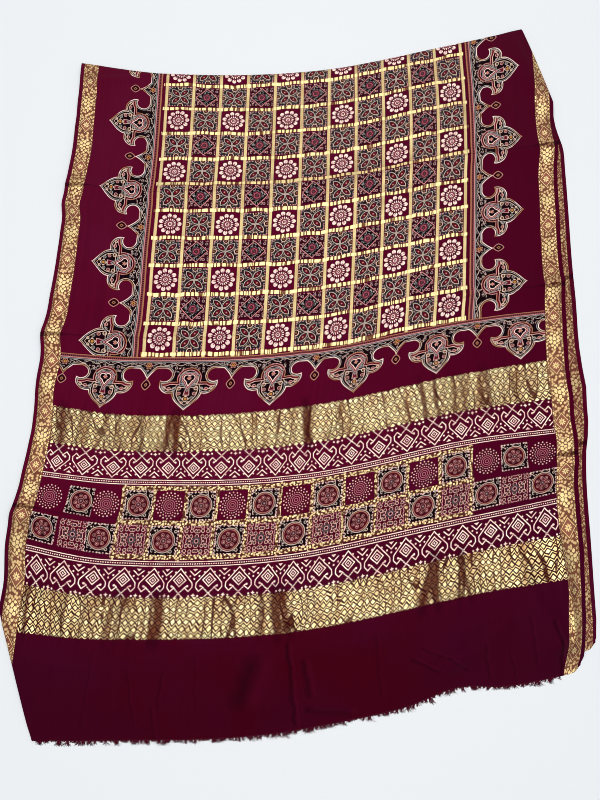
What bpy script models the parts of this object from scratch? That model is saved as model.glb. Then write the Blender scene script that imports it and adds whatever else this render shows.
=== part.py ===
"""Folded ajrakh cloth: one long printed silk cloth, folded once across at its middle and laid flat.

The cloth is described on the flat first: "across" runs from the left selvedge to the right one,
and "along" from the cut end at the front to the fold, on the upper layer and on the lower alike.
Metres, +Z up, +X to the right, +Y towards the fold. The underside of the lower layer is at Z = 0.
"""

import math
import random

import bmesh
import bpy
from mathutils import Vector

# The cloth as it was woven
CLOTH_WIDTH = 1.00
CLOTH_LENGTH = 2.54
FOLD = CLOTH_LENGTH / 2
THICKNESS = 0.0012
LAYER_GAP = 0.0010
LAYER_STEP = THICKNESS + LAYER_GAP

# Where five warps cross a few wefts as the cloth lies, from the left selvedge to the right one
STATIONS = (0.00, 0.19, 0.50, 0.81, 1.00)
UPPER_WEFTS = (
    # along, then (x, y) at each station
    (0.000, (-0.530, -0.572), (-0.350, -0.576), (-0.025, -0.565), (0.302, -0.504), (0.478, -0.468)),
    (0.160, (-0.518, -0.402), (-0.341, -0.417), (-0.017, -0.406), (0.302, -0.344), (0.494, -0.312)),
    (0.290, (-0.518, -0.250), (-0.333, -0.284), (-0.014, -0.276), (0.304, -0.210), (0.497, -0.170)),
    (0.420, (-0.500, -0.132), (-0.319, -0.151), (-0.005, -0.143), (0.311, -0.079), (0.502, -0.054)),
    (0.547, (-0.487, -0.006), (-0.310, -0.031), (0.000, -0.014), (0.305, 0.049), (0.502, 0.082)),
    (0.654, (-0.486, 0.098), (-0.295, 0.086), (0.012, 0.098), (0.312, 0.159), (0.507, 0.183)),
    (0.889, (-0.472, 0.342), (-0.287, 0.325), (0.024, 0.334), (0.330, 0.392), (0.514, 0.412)),
    (1.124, (-0.461, 0.574), (-0.279, 0.557), (0.031, 0.566), (0.342, 0.630), (0.524, 0.660)),
    (FOLD, (-0.458, 0.724), (-0.277, 0.698), (0.034, 0.705), (0.340, 0.774), (0.530, 0.822)),
)

# How far the lower layer lies off the upper one, at the left selvedge and at the right one
LOWER_SHIFTS = (
    # along, then (x, y) at each selvedge
    (0.000, (0.092, 0.048), (0.029, 0.036)),
    (0.160, (0.060, 0.032), (0.018, 0.034)),
    (0.350, (0.042, 0.010), (0.020, 0.020)),
    (0.700, (0.023, 0.010), (0.021, 0.019)),
    (0.950, (0.017, 0.007), (0.020, 0.018)),
    (1.020, (0.008, 0.003), (0.009, 0.008)),
    (1.075, (0.000, 0.000), (0.000, 0.000)),
    (1.095, (0.000, 0.000), (0.000, 0.000)),
    (FOLD, (0.000, 0.000), (0.000, 0.000)),
)

# The bend at the fold: half its length on the cloth, and how far it stands up above a pressed one
FOLD_BEND = 0.006
FOLD_BULGE = 0.0040
FOLD_BULGE_REACH = 0.035

# Corners turned under: the corner, and where its turning line meets the side and the end
FRONT_CORNER = {"across": 0.0, "along": 0.0, "on_side": 0.19, "on_end": 0.096}
FOLD_CORNER = {"across": CLOTH_WIDTH, "along": FOLD, "on_side": 1.09, "on_end": 0.94}
TURN_RADIUS = 0.0015
TURN_FADE = 0.030
TURN_FACETS = 3
CUT_SNAP = 0.0003

# The upper layer comes down to the surface in front of the lower layer, and left of it up to a point
FRONT_DROP = 0.030
SIDE_DROP = 0.012
SIDE_DROP_ENDS = (0.90, 1.00)

# Ridges left by pressing and lying, as straight lines on the flat cloth
CREASES = (
    # across and along at one end, across and along at the other, height, half width
    (0.00, 0.985, 1.00, 1.000, 0.0060, 0.016),
    (0.00, 0.682, 1.00, 0.700, 0.0070, 0.016),
    (0.00, 0.335, 1.00, 0.350, 0.0080, 0.018),
    (0.25, 0.030, 0.25, 0.560, 0.0035, 0.016),
    (0.49, 0.030, 0.49, 0.640, 0.0045, 0.016),
    (0.77, 0.040, 0.77, 0.600, 0.0045, 0.016),
    (0.74, 0.075, 0.83, 0.120, 0.0050, 0.012),
    (0.78, 0.050, 0.84, 0.090, 0.0050, 0.012),
    (0.89, 0.170, 0.94, 0.060, 0.0100, 0.014),
    (0.955, 0.200, 0.975, 0.080, 0.0060, 0.012),
    (0.05, 1.235, 0.12, 1.250, 0.0040, 0.012),
)
CREASE_TAPER = 0.050

# Slow swells of the upper layer: height, waves across, waves along, turn of the wave
SWELLS = (
    (0.0022, 2.3, 3.1, 0.6),
    (0.0016, 4.1, 1.7, 2.1),
    (0.0012, 1.2, 6.3, 4.0),
)

# How soon ridges and swells begin, from the cut end, from the turned corners and from the fold
QUIET_FRONT = 0.010
QUIET_FRONT_FADE = 0.050
QUIET_TURN_FADE = 0.030
QUIET_FOLD_FADE = 0.034
QUIET_FOLD_SHARE = 0.4

# Steps of the mesh: even ones, and others beside each long ridge
COLUMN_COUNT = 34
UPPER_ROW_COUNT = 42
LOWER_ROW_COUNT = 14
BEND_ROW_COUNT = 4
RIDGE_COLUMNS = (0.25, 0.49, 0.77)
RIDGE_ROWS = (0.342, 0.691, 0.992)
RIDGE_SIDE = 0.017
STEP_CLEARANCE = 0.010
SAME_ROWS_FROM = 1.03

# The frayed end: a narrow strip in front of the cut edge, and its uneven locks of warp yarn
FRINGE_FROM = 0.135
FRINGE_TO = 0.950
FRINGE_GAP = 0.0003
FRINGE_STRIP = 0.0025
FRINGE_THICKNESS = 0.0009
LOCK_COUNT = 210
LOCK_LENGTH = (0.006, 0.014)
LOCK_LEAN = 0.0012
LOCK_END_SHARE = 0.22
LOCK_END_THICKNESS = 0.0004
FORWARD_STEP = 0.020
SEED = 5


def smooth_step(value):
    """0 below 0, 1 above 1, and an even curve between."""
    held = min(max(value, 0.0), 1.0)
    return held * held * (3 - 2 * held)


def smooth_value(places, values, at):
    """A smooth curve through values at uneven places, carried on straight past both ends."""
    last = len(places) - 1
    slopes = []
    for i in range(last + 1):
        before, after = max(i - 1, 0), min(i + 1, last)
        slopes.append((values[after] - values[before]) / (places[after] - places[before]))
    if at <= places[0]:
        return values[0] + slopes[0] * (at - places[0])
    if at >= places[last]:
        return values[last] + slopes[last] * (at - places[last])
    i = max(k for k in range(last) if places[k] <= at)
    span = places[i + 1] - places[i]
    t = (at - places[i]) / span
    start = values[i] * (1 + 2 * t) * (1 - t) ** 2 + slopes[i] * span * t * (1 - t) ** 2
    end = values[i + 1] * t * t * (3 - 2 * t) + slopes[i + 1] * span * t * t * (t - 1)
    return start + end


def between_warps(rows, stations, across, along):
    """A place or a shift in plan, read smoothly from a table of rows along the cloth."""
    alongs = [row[0] for row in rows]
    read = []
    for axis in (0, 1):
        warps = []
        for station in range(len(stations)):
            warps.append(smooth_value(alongs, [row[1 + station][axis] for row in rows], along))
        read.append(smooth_value(stations, warps, across))
    return Vector(read)


def lying_place(across, along, on_top):
    """The place in plan of a point of the upper or the lower layer."""
    place = between_warps(UPPER_WEFTS, STATIONS, across, along)
    if not on_top:
        place += between_warps(LOWER_SHIFTS, (0, CLOTH_WIDTH), across, along)
    return place


def turning_line(corner):
    """A point on a corner's turning line, and the unit normal that points to the corner."""
    start = Vector((corner["across"], corner["on_side"]))
    end = Vector((corner["on_end"], corner["along"]))
    direction = (end - start).normalized()
    normal = Vector((-direction.y, direction.x))
    if normal.dot(Vector((corner["across"], corner["along"])) - start) < 0:
        normal = -normal
    return start, normal


def beyond_turn(corner, across, along):
    """How far a point of the flat cloth lies past a corner's turning line."""
    start, normal = turning_line(corner)
    return normal.dot(Vector((across, along)) - start)


def over_turn(corner, across, along):
    """1 where the turned corner lies under the cloth, fading to 0 past the turned piece's edges."""
    beyond = beyond_turn(corner, across, along)
    if beyond >= 0:
        return 1.0
    normal = turning_line(corner)[1]
    mirror = Vector((across, along)) - 2 * beyond * normal
    inside_side = mirror.x if corner["across"] == 0 else CLOTH_WIDTH - mirror.x
    inside_end = mirror.y if corner["along"] == 0 else FOLD - mirror.y
    return smooth_step(1 + inside_side / TURN_FADE) * smooth_step(1 + inside_end / TURN_FADE)


def turn(corner, across, along, height, axis, reach):
    """Carries a point past the turning line round under the cloth, about an axis at a height."""
    beyond = beyond_turn(corner, across, along)
    if beyond <= 0:
        return across, along, height
    normal = turning_line(corner)[1]
    if beyond < reach:
        angle = math.pi * beyond / reach
        out = (height - axis) * math.sin(angle)
        height = axis + (height - axis) * math.cos(angle)
    else:
        out = reach - beyond
        height = 2 * axis - height
    shift = out - beyond
    return across + shift * normal.x, along + shift * normal.y, height


def ridge_height(across, along):
    """The ridges that pressing and lying left in the upper layer."""
    total = 0.0
    for across_a, along_a, across_b, along_b, height, half_width in CREASES:
        run = Vector((across_b - across_a, along_b - along_a))
        offset = Vector((across - across_a, along - along_a))
        share = offset.dot(run) / run.length_squared
        past_end = max(-share, share - 1, 0.0) * run.length
        away = (offset - share * run).length
        total += height / (1 + (away / half_width) ** 2) * smooth_step(1 - past_end / CREASE_TAPER)
    return total


def swell_height(across, along):
    """Slow uneven swells, never below nothing."""
    total = 0.0
    for height, waves_across, waves_along, turned in SWELLS:
        wave = math.sin(2 * math.pi * (waves_across * across + waves_along * along) + turned)
        total += height * (1 + wave) / 2
    return total


def edge_share(across, along):
    """0 where the upper layer lies on the surface at its free edges, 1 where it lies on the lower."""
    drop_from, drop_to = SIDE_DROP_ENDS
    side = max(across / SIDE_DROP, (along - drop_from) / (drop_to - drop_from))
    return min(smooth_step(side), smooth_step(along / FRONT_DROP))


def relief_share(across, along):
    """0 along the cut end and along the turned edges, where the cloth lies flat, 1 away from them."""
    share = smooth_step((along - QUIET_FRONT) / QUIET_FRONT_FADE)
    for corner in (FRONT_CORNER, FOLD_CORNER):
        share *= smooth_step(-beyond_turn(corner, across, along) / QUIET_TURN_FADE)
    fold = smooth_step((FOLD - along) / QUIET_FOLD_FADE)
    return share * (QUIET_FOLD_SHARE + (1 - QUIET_FOLD_SHARE) * fold)


def layer_heights(across, along):
    """Heights of the middle of the lower and of the upper layer at one place."""
    fold_turn = over_turn(FOLD_CORNER, across, along)
    bulge = FOLD_BULGE * math.exp(-(((FOLD - along) / FOLD_BULGE_REACH) ** 2)) * (1 - fold_turn)
    relief = (ridge_height(across, along) + swell_height(across, along)) * relief_share(across, along)
    lower = THICKNESS / 2 + (LAYER_STEP + 2 * TURN_RADIUS) * fold_turn
    upper = lower + LAYER_STEP * edge_share(across, along) + bulge + relief
    upper += 2 * TURN_RADIUS * over_turn(FRONT_CORNER, across, along)
    return lower, upper


def laid_point(across, distance):
    """Where a point of the flat cloth lies. Distance runs from the cut end over the fold."""
    along = min(distance, CLOTH_LENGTH - distance)
    on_top = distance <= FOLD
    lower, upper = layer_heights(across, along)
    height = upper if on_top else lower
    if along > FOLD - FOLD_BEND:
        bend = (distance - FOLD + FOLD_BEND) / (2 * FOLD_BEND)
        height = lower + (upper - lower) * (1 + math.cos(math.pi * bend)) / 2
        along = FOLD - FOLD_BEND + FOLD_BEND * math.sin(math.pi * bend)
    axis = THICKNESS / 2 + LAYER_STEP + TURN_RADIUS
    across, along, height = turn(FOLD_CORNER, across, along, height, axis, FOLD_TURN_REACH)
    if on_top and beyond_turn(FRONT_CORNER, across, along) > 0:
        axis = THICKNESS / 2 + TURN_RADIUS
        top = axis + TURN_RADIUS
        across, along, height = turn(FRONT_CORNER, across, along, top, axis, FRONT_TURN_REACH)
        height += LAYER_STEP * edge_share(across, along)
    return Vector((*lying_place(across, along, on_top), height))


def mesh_steps(end, count, ridges):
    """Even steps from 0 to an end, with three about each ridge in place of those too near to them."""
    beside = [ridge + side for ridge in ridges for side in (-RIDGE_SIDE, 0, RIDGE_SIDE)]
    even = [end * i / count for i in range(count + 1)]
    kept = [step for step in even if all(abs(step - ridge) > STEP_CLEARANCE for ridge in beside)]
    return sorted(kept + beside)


def row_distances():
    """Distances of the mesh's rows from the cut end, over the fold to the far end."""
    bend_start = FOLD - FOLD_BEND
    drop = [FRONT_DROP / 3, FRONT_DROP * 2 / 3]
    upper = sorted(mesh_steps(bend_start, UPPER_ROW_COUNT, RIDGE_ROWS) + drop)
    bend = [bend_start + 2 * FOLD_BEND * i / BEND_ROW_COUNT for i in range(1, BEND_ROW_COUNT)]
    same = [CLOTH_LENGTH - row for row in reversed(upper) if row > SAME_ROWS_FROM]
    step = (CLOTH_LENGTH - same[-1]) / LOWER_ROW_COUNT
    lower = [same[-1] + step * i for i in range(1, LOWER_ROW_COUNT + 1)]
    return upper + bend + same + lower


def cut_along_turn(mesh, corner, reach, on_lower):
    """Puts edges on one layer of the flat cloth, along a turning line and along its bend."""
    start, normal = turning_line(corner)
    facing = Vector((normal.x, -normal.y if on_lower else normal.y, 0))
    for facet in range(TURN_FACETS + 1):
        across, along = start + normal * (reach * facet / TURN_FACETS)
        distance = CLOTH_LENGTH - along if on_lower else along
        faces = [face for face in mesh.faces if (face.calc_center_median().y > FOLD) == on_lower]
        edges = {edge for face in faces for edge in face.edges}
        points = {point for face in faces for point in face.verts}
        bmesh.ops.bisect_plane(
            mesh, geom=[*faces, *edges, *points], dist=CUT_SNAP,
            plane_co=(across, distance, 0), plane_no=facing,
        )


def make_cloth():
    """The whole cloth as one sheet: cut flat, edged at its turning lines, laid down and thickened."""
    mesh = bmesh.new()
    columns = sorted(mesh_steps(CLOTH_WIDTH, COLUMN_COUNT, RIDGE_COLUMNS) + [SIDE_DROP])
    grid = [[mesh.verts.new((column, row, 0)) for column in columns] for row in row_distances()]
    for near, far in zip(grid, grid[1:]):
        for i in range(len(columns) - 1):
            mesh.faces.new((near[i], near[i + 1], far[i + 1], far[i]))
    cut_along_turn(mesh, FRONT_CORNER, FRONT_TURN_REACH, on_lower=False)
    cut_along_turn(mesh, FOLD_CORNER, FOLD_TURN_REACH, on_lower=False)
    cut_along_turn(mesh, FOLD_CORNER, FOLD_TURN_REACH, on_lower=True)
    for point in mesh.verts:
        point.co = laid_point(point.co.x, point.co.y)
    made = object_from(mesh, "cloth")
    thicken = made.modifiers.new("thickness", "SOLIDIFY")
    thicken.thickness = THICKNESS
    thicken.offset = 0
    return made


def fringe_ring(mesh, across):
    """The strip's corners in front of one point of the cut end: back low, back high, front high, front low."""
    edge = laid_point(across, 0)
    forward = (edge - laid_point(across, FORWARD_STEP)) * Vector((1, 1, 0))
    forward.normalize()
    back = edge + FRINGE_GAP * forward
    front = back + FRINGE_STRIP * forward
    corners = ((back, 0), (back, FRINGE_THICKNESS), (front, FRINGE_THICKNESS), (front, 0))
    return [mesh.verts.new((place.x, place.y, height)) for place, height in corners]


def draw_out_lock(root, draw):
    """Moves the end of one lock forward along the surface, narrowed and leaning a little."""
    middle = root.calc_center_median()
    forward = Vector((root.normal.x, root.normal.y, 0)).normalized()
    aside = Vector((-forward.y, forward.x, 0))
    length = draw.uniform(*LOCK_LENGTH)
    lean = draw.uniform(-LOCK_LEAN, LOCK_LEAN)
    for point in root.verts:
        sideways = (point.co - middle).dot(aside) * LOCK_END_SHARE + lean
        height = LOCK_END_THICKNESS if point.co.z > 0 else 0
        place = middle + forward * length + aside * sideways
        point.co = (place.x, place.y, height)


def make_fringe():
    """A narrow strip in front of the cut end, with each of its front faces drawn out to a lock."""
    draw = random.Random(SEED)
    mesh = bmesh.new()
    step = (FRINGE_TO - FRINGE_FROM) / LOCK_COUNT
    rings = [fringe_ring(mesh, FRINGE_FROM + step * i) for i in range(LOCK_COUNT + 1)]
    roots = []
    for left, right in zip(rings, rings[1:]):
        for i in range(4):
            k = (i + 1) % 4
            face = mesh.faces.new((left[i], left[k], right[k], right[i]))
            if i == 2:
                roots.append(face)
    mesh.faces.new(rings[0][::-1])
    mesh.faces.new(rings[-1])
    bmesh.ops.recalc_face_normals(mesh, faces=mesh.faces)
    for root in bmesh.ops.extrude_discrete_faces(mesh, faces=roots)["faces"]:
        root.normal_update()
        draw_out_lock(root, draw)
    bmesh.ops.recalc_face_normals(mesh, faces=mesh.faces)
    return object_from(mesh, "fringe")


def object_from(mesh, name):
    data = bpy.data.meshes.new(name)
    mesh.to_mesh(data)
    mesh.free()
    made = bpy.data.objects.new(name, data)
    collection.objects.link(made)
    return made


def give_material(made, colour, roughness, metallic):
    material = bpy.data.materials.new(made.name)
    material.use_nodes = True
    shader = material.node_tree.nodes["Principled BSDF"]
    shader.inputs["Base Color"].default_value = (*colour, 1)
    shader.inputs["Roughness"].default_value = roughness
    shader.inputs["Metallic"].default_value = metallic
    made.data.materials.append(material)


def centre_on_origin(pieces):
    """Moves all pieces so that the middle of their box in plan is at the origin."""
    places = [point.co for piece in pieces for point in piece.data.vertices]
    low = Vector((min(place.x for place in places), min(place.y for place in places), 0))
    high = Vector((max(place.x for place in places), max(place.y for place in places), 0))
    for piece in pieces:
        for point in piece.data.vertices:
            point.co -= (low + high) / 2


# Length of cloth in the bend at each turning line: the fold corner turns two layers together
FRONT_TURN_REACH = math.pi * TURN_RADIUS
FOLD_TURN_REACH = math.pi * (TURN_RADIUS + LAYER_STEP / 2)

for old in list(bpy.data.objects):
    bpy.data.objects.remove(old)
collection = bpy.data.collections.new("ajrakh_cloth")
bpy.context.scene.collection.children.link(collection)

cloth = make_cloth()
fringe = make_fringe()
centre_on_origin([cloth, fringe])
give_material(cloth, (0.105, 0.004, 0.018), 0.42, 0.0)
give_material(fringe, (0.085, 0.004, 0.016), 0.65, 0.0)
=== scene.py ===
import math
from functools import reduce

import bmesh
import bpy
import numpy as np
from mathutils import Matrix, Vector


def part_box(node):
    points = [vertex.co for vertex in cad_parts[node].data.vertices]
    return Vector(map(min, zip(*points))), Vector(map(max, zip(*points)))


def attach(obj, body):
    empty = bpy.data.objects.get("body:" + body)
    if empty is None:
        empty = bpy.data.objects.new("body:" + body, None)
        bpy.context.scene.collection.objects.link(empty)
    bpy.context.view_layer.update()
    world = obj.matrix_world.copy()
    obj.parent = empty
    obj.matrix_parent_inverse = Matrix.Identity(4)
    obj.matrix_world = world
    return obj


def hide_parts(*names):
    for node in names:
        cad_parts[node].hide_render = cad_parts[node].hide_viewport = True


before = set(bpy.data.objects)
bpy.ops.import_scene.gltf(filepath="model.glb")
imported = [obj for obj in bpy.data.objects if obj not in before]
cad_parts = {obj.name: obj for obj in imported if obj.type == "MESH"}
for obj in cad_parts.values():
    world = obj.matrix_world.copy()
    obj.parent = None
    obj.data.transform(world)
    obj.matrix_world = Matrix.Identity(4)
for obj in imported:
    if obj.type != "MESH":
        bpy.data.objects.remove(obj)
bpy.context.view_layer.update()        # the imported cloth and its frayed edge
print("frame loaded")

# what lies where on the flat cloth; across and along in metres
plan = {
    "selvedge": 0.0075,
    "border": 0.040,          # the gold border's inner edge
    "fieldSide": 0.1855,      # the checks start here
    "plainEnd": 0.160,
    "lowerBand": 0.228,
    "lowerPatola": 0.288,
    "squares": 0.415,
    "upperPatola": 0.477,
    "upperBand": 0.547,
    "fieldEnd": 0.6485,
    "checkFrom": 0.192,       # middle of the first lengthwise gold line
    "checkAcross": 0.056,
    "checkColumns": 11,
    "checkRows": 21,
    "rowFrom": 0.654,         # middle of the first crosswise gold line
    "rowAlong": 0.05867,
}

# the cut cloth and how it lies, in metres
cloth = {
    "width": 1.00,
    "length": 2.54,
    "lowerMiddle": 0.0006,    # height of the lower layer
    "layerStep": 0.0022,      # from the lower layer up to the upper one
    "foldBend": 0.006,
    "foldBulge": 0.0040,
    "foldBulgeReach": 0.035,
    "turnRadius": 0.0015,
    "turnFade": 0.030,
    "frontDrop": 0.030,
    "sideDrop": 0.012,
    "sideDropEnds": (0.90, 1.00),
    "stations": (0.00, 0.19, 0.50, 0.81, 1.00),
    # along, then the place in plan at each station
    "upperWefts": (
        (0.000, (-0.530, -0.572), (-0.350, -0.576), (-0.025, -0.565), (0.302, -0.504), (0.478, -0.468)),
        (0.160, (-0.518, -0.402), (-0.341, -0.417), (-0.017, -0.406), (0.302, -0.344), (0.494, -0.312)),
        (0.290, (-0.518, -0.250), (-0.333, -0.284), (-0.014, -0.276), (0.304, -0.210), (0.497, -0.170)),
        (0.420, (-0.500, -0.132), (-0.319, -0.151), (-0.005, -0.143), (0.311, -0.079), (0.502, -0.054)),
        (0.547, (-0.487, -0.006), (-0.310, -0.031), (0.000, -0.014), (0.305, 0.049), (0.502, 0.082)),
        (0.654, (-0.486, 0.098), (-0.295, 0.086), (0.012, 0.098), (0.312, 0.159), (0.507, 0.183)),
        (0.889, (-0.472, 0.342), (-0.287, 0.325), (0.024, 0.334), (0.330, 0.392), (0.514, 0.412)),
        (1.124, (-0.461, 0.574), (-0.279, 0.557), (0.031, 0.566), (0.342, 0.630), (0.524, 0.660)),
        (1.270, (-0.458, 0.724), (-0.277, 0.698), (0.034, 0.705), (0.340, 0.774), (0.530, 0.822)),
    ),
    # along, then how far the lower layer lies from the upper at the left and the right selvedge
    "lowerShifts": (
        (0.000, (0.092, 0.048), (0.029, 0.036)),
        (0.160, (0.060, 0.032), (0.018, 0.034)),
        (0.350, (0.042, 0.010), (0.020, 0.020)),
        (0.700, (0.023, 0.010), (0.021, 0.019)),
        (0.950, (0.017, 0.007), (0.020, 0.018)),
        (1.020, (0.008, 0.003), (0.009, 0.008)),
        (1.075, (0.000, 0.000), (0.000, 0.000)),
        (1.095, (0.000, 0.000), (0.000, 0.000)),
        (1.270, (0.000, 0.000), (0.000, 0.000)),
    ),
}
fold = cloth["length"] / 2

corners = {
    "front": {"across": 0.0, "along": 0.0, "onSide": 0.19, "onEnd": 0.096},
    "fold": {"across": 1.0, "along": fold, "onSide": 1.09, "onEnd": 0.94},
}

creases = {
    # across, along at one end; across, along at the other; height; half width
    "ridges": (
        (0.00, 0.985, 1.00, 1.000, 0.0060, 0.016),
        (0.00, 0.682, 1.00, 0.700, 0.0070, 0.016),
        (0.00, 0.335, 1.00, 0.350, 0.0080, 0.018),
        (0.25, 0.030, 0.25, 0.560, 0.0035, 0.016),
        (0.49, 0.030, 0.49, 0.640, 0.0045, 0.016),
        (0.77, 0.040, 0.77, 0.600, 0.0045, 0.016),
        (0.74, 0.075, 0.83, 0.120, 0.0050, 0.012),
        (0.78, 0.050, 0.84, 0.090, 0.0050, 0.012),
        (0.89, 0.170, 0.94, 0.060, 0.0100, 0.014),
        (0.955, 0.200, 0.975, 0.080, 0.0060, 0.012),
        (0.05, 1.235, 0.12, 1.250, 0.0040, 0.012),
    ),
    "taper": 0.050,
    # slow swells: height, waves across, waves along, turn
    "swells": ((0.0022, 2.3, 3.1, 0.6), (0.0016, 4.1, 1.7, 2.1), (0.0012, 1.2, 6.3, 4.0)),
    "quietFront": 0.010,
    "quietFrontFade": 0.050,
    "quietTurnFade": 0.030,
    "quietFoldFade": 0.034,
    "quietFoldShare": 0.4,
}


def smoothStep(value):
    held = np.clip(value, 0.0, 1.0)
    return held * held * (3 - 2 * held)


def smoothRead(places, values, at):
    # a smooth curve through the values, carried on straight past both ends
    places = np.asarray(places, float)
    values = np.asarray(values, float)
    if values.ndim == 2:
        values = np.repeat(values[:, None], len(at), 1)
    last = len(places) - 1
    slopes = np.empty_like(values)
    for i in range(last + 1):
        before, after = max(i - 1, 0), min(i + 1, last)
        slopes[i] = (values[after] - values[before]) / (places[after] - places[before])
    i = np.clip(np.searchsorted(places, at, side="right") - 1, 0, last - 1)
    each = np.arange(len(at))
    span = (places[i + 1] - places[i])[:, None]
    raw = (at - places[i])[:, None] / span
    t = np.clip(raw, 0, 1)
    slopeA, slopeB = slopes[i, each] * span, slopes[i + 1, each] * span
    start = values[i, each] * (1 + 2 * t) * (1 - t) ** 2 + slopeA * t * (1 - t) ** 2
    end = values[i + 1, each] * t * t * (3 - 2 * t) + slopeB * t * t * (t - 1)
    return start + end + (raw - t) * np.where(raw < 0, slopeA, slopeB)


def readPlan(rows, stations, across, along):
    alongs = [row[0] for row in rows]
    table = np.array([row[1:] for row in rows], float)
    warps = [smoothRead(alongs, table[:, i], along) for i in range(len(stations))]
    return smoothRead(stations, np.array(warps), across)


def turningLine(corner):
    start = np.array((corner["across"], corner["onSide"]))
    run = np.array((corner["onEnd"], corner["along"])) - start
    normal = np.array((-run[1], run[0])) / np.hypot(*run)
    if normal @ (np.array((corner["across"], corner["along"])) - start) < 0:
        normal = -normal
    return start, normal


def pastTurn(corner, across, along):
    start, normal = turningLine(corner)
    return (across - start[0]) * normal[0] + (along - start[1]) * normal[1]


def overTurn(corner, across, along):
    # 1 where the turned corner lies beneath, fading out past the edges of the turned piece
    past = pastTurn(corner, across, along)
    normal = turningLine(corner)[1]
    mirrorAcross = across - 2 * past * normal[0]
    mirrorAlong = along - 2 * past * normal[1]
    side = mirrorAcross if corner["across"] == 0 else cloth["width"] - mirrorAcross
    end = mirrorAlong if corner["along"] == 0 else fold - mirrorAlong
    fade = cloth["turnFade"]
    share = smoothStep(1 + side / fade) * smoothStep(1 + end / fade)
    return np.where(past >= 0, 1.0, share)


def turnUnder(corner, across, along, height, axis, reach):
    # the cloth past the turning line goes round under itself
    past = pastTurn(corner, across, along)
    normal = turningLine(corner)[1]
    angle = math.pi * np.clip(past / reach, 0, 1)
    out = np.where(past < reach, (height - axis) * np.sin(angle), reach - past)
    turned = axis + (height - axis) * np.cos(angle)
    shift = np.where(past > 0, out - past, 0)
    return (
        across + shift * normal[0],
        along + shift * normal[1],
        np.where(past > 0, turned, height),
    )


def ridgeHeight(ridges, across, along):
    total = np.zeros_like(across)
    for acrossA, alongA, acrossB, alongB, height, halfWidth in ridges:
        runX, runY = acrossB - acrossA, alongB - alongA
        long = math.hypot(runX, runY)
        share = ((across - acrossA) * runX + (along - alongA) * runY) / long**2
        pastEnd = np.maximum(np.maximum(-share, share - 1), 0) * long
        away = np.hypot(across - acrossA - share * runX, along - alongA - share * runY)
        total += height / (1 + (away / halfWidth) ** 2) * smoothStep(1 - pastEnd / creases["taper"])
    return total


def swellHeight(across, along):
    total = np.zeros_like(across)
    for height, wavesAcross, wavesAlong, turned in creases["swells"]:
        wave = np.sin(2 * math.pi * (wavesAcross * across + wavesAlong * along) + turned)
        total += height * (1 + wave) / 2
    return total


def edgeShare(across, along):
    dropFrom, dropTo = cloth["sideDropEnds"]
    side = np.maximum(across / cloth["sideDrop"], (along - dropFrom) / (dropTo - dropFrom))
    return np.minimum(smoothStep(side), smoothStep(along / cloth["frontDrop"]))


def reliefShare(across, along):
    share = smoothStep((along - creases["quietFront"]) / creases["quietFrontFade"])
    for corner in corners.values():
        share = share * smoothStep(-pastTurn(corner, across, along) / creases["quietTurnFade"])
    quiet = creases["quietFoldShare"]
    return share * (quiet + (1 - quiet) * smoothStep((fold - along) / creases["quietFoldFade"]))


def layerHeights(across, along):
    foldTurn = overTurn(corners["fold"], across, along)
    step, radius = cloth["layerStep"], cloth["turnRadius"]
    nearFold = np.exp(-(((fold - along) / cloth["foldBulgeReach"]) ** 2))
    bulge = cloth["foldBulge"] * nearFold * (1 - foldTurn)
    relief = ridgeHeight(creases["ridges"], across, along) + swellHeight(across, along)
    relief += fineRelief(across, along)
    lower = cloth["lowerMiddle"] + (step + 2 * radius) * foldTurn
    upper = lower + step * edgeShare(across, along) + bulge + relief * reliefShare(across, along)
    upper += 2 * radius * overTurn(corners["front"], across, along)
    return lower, upper


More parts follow.
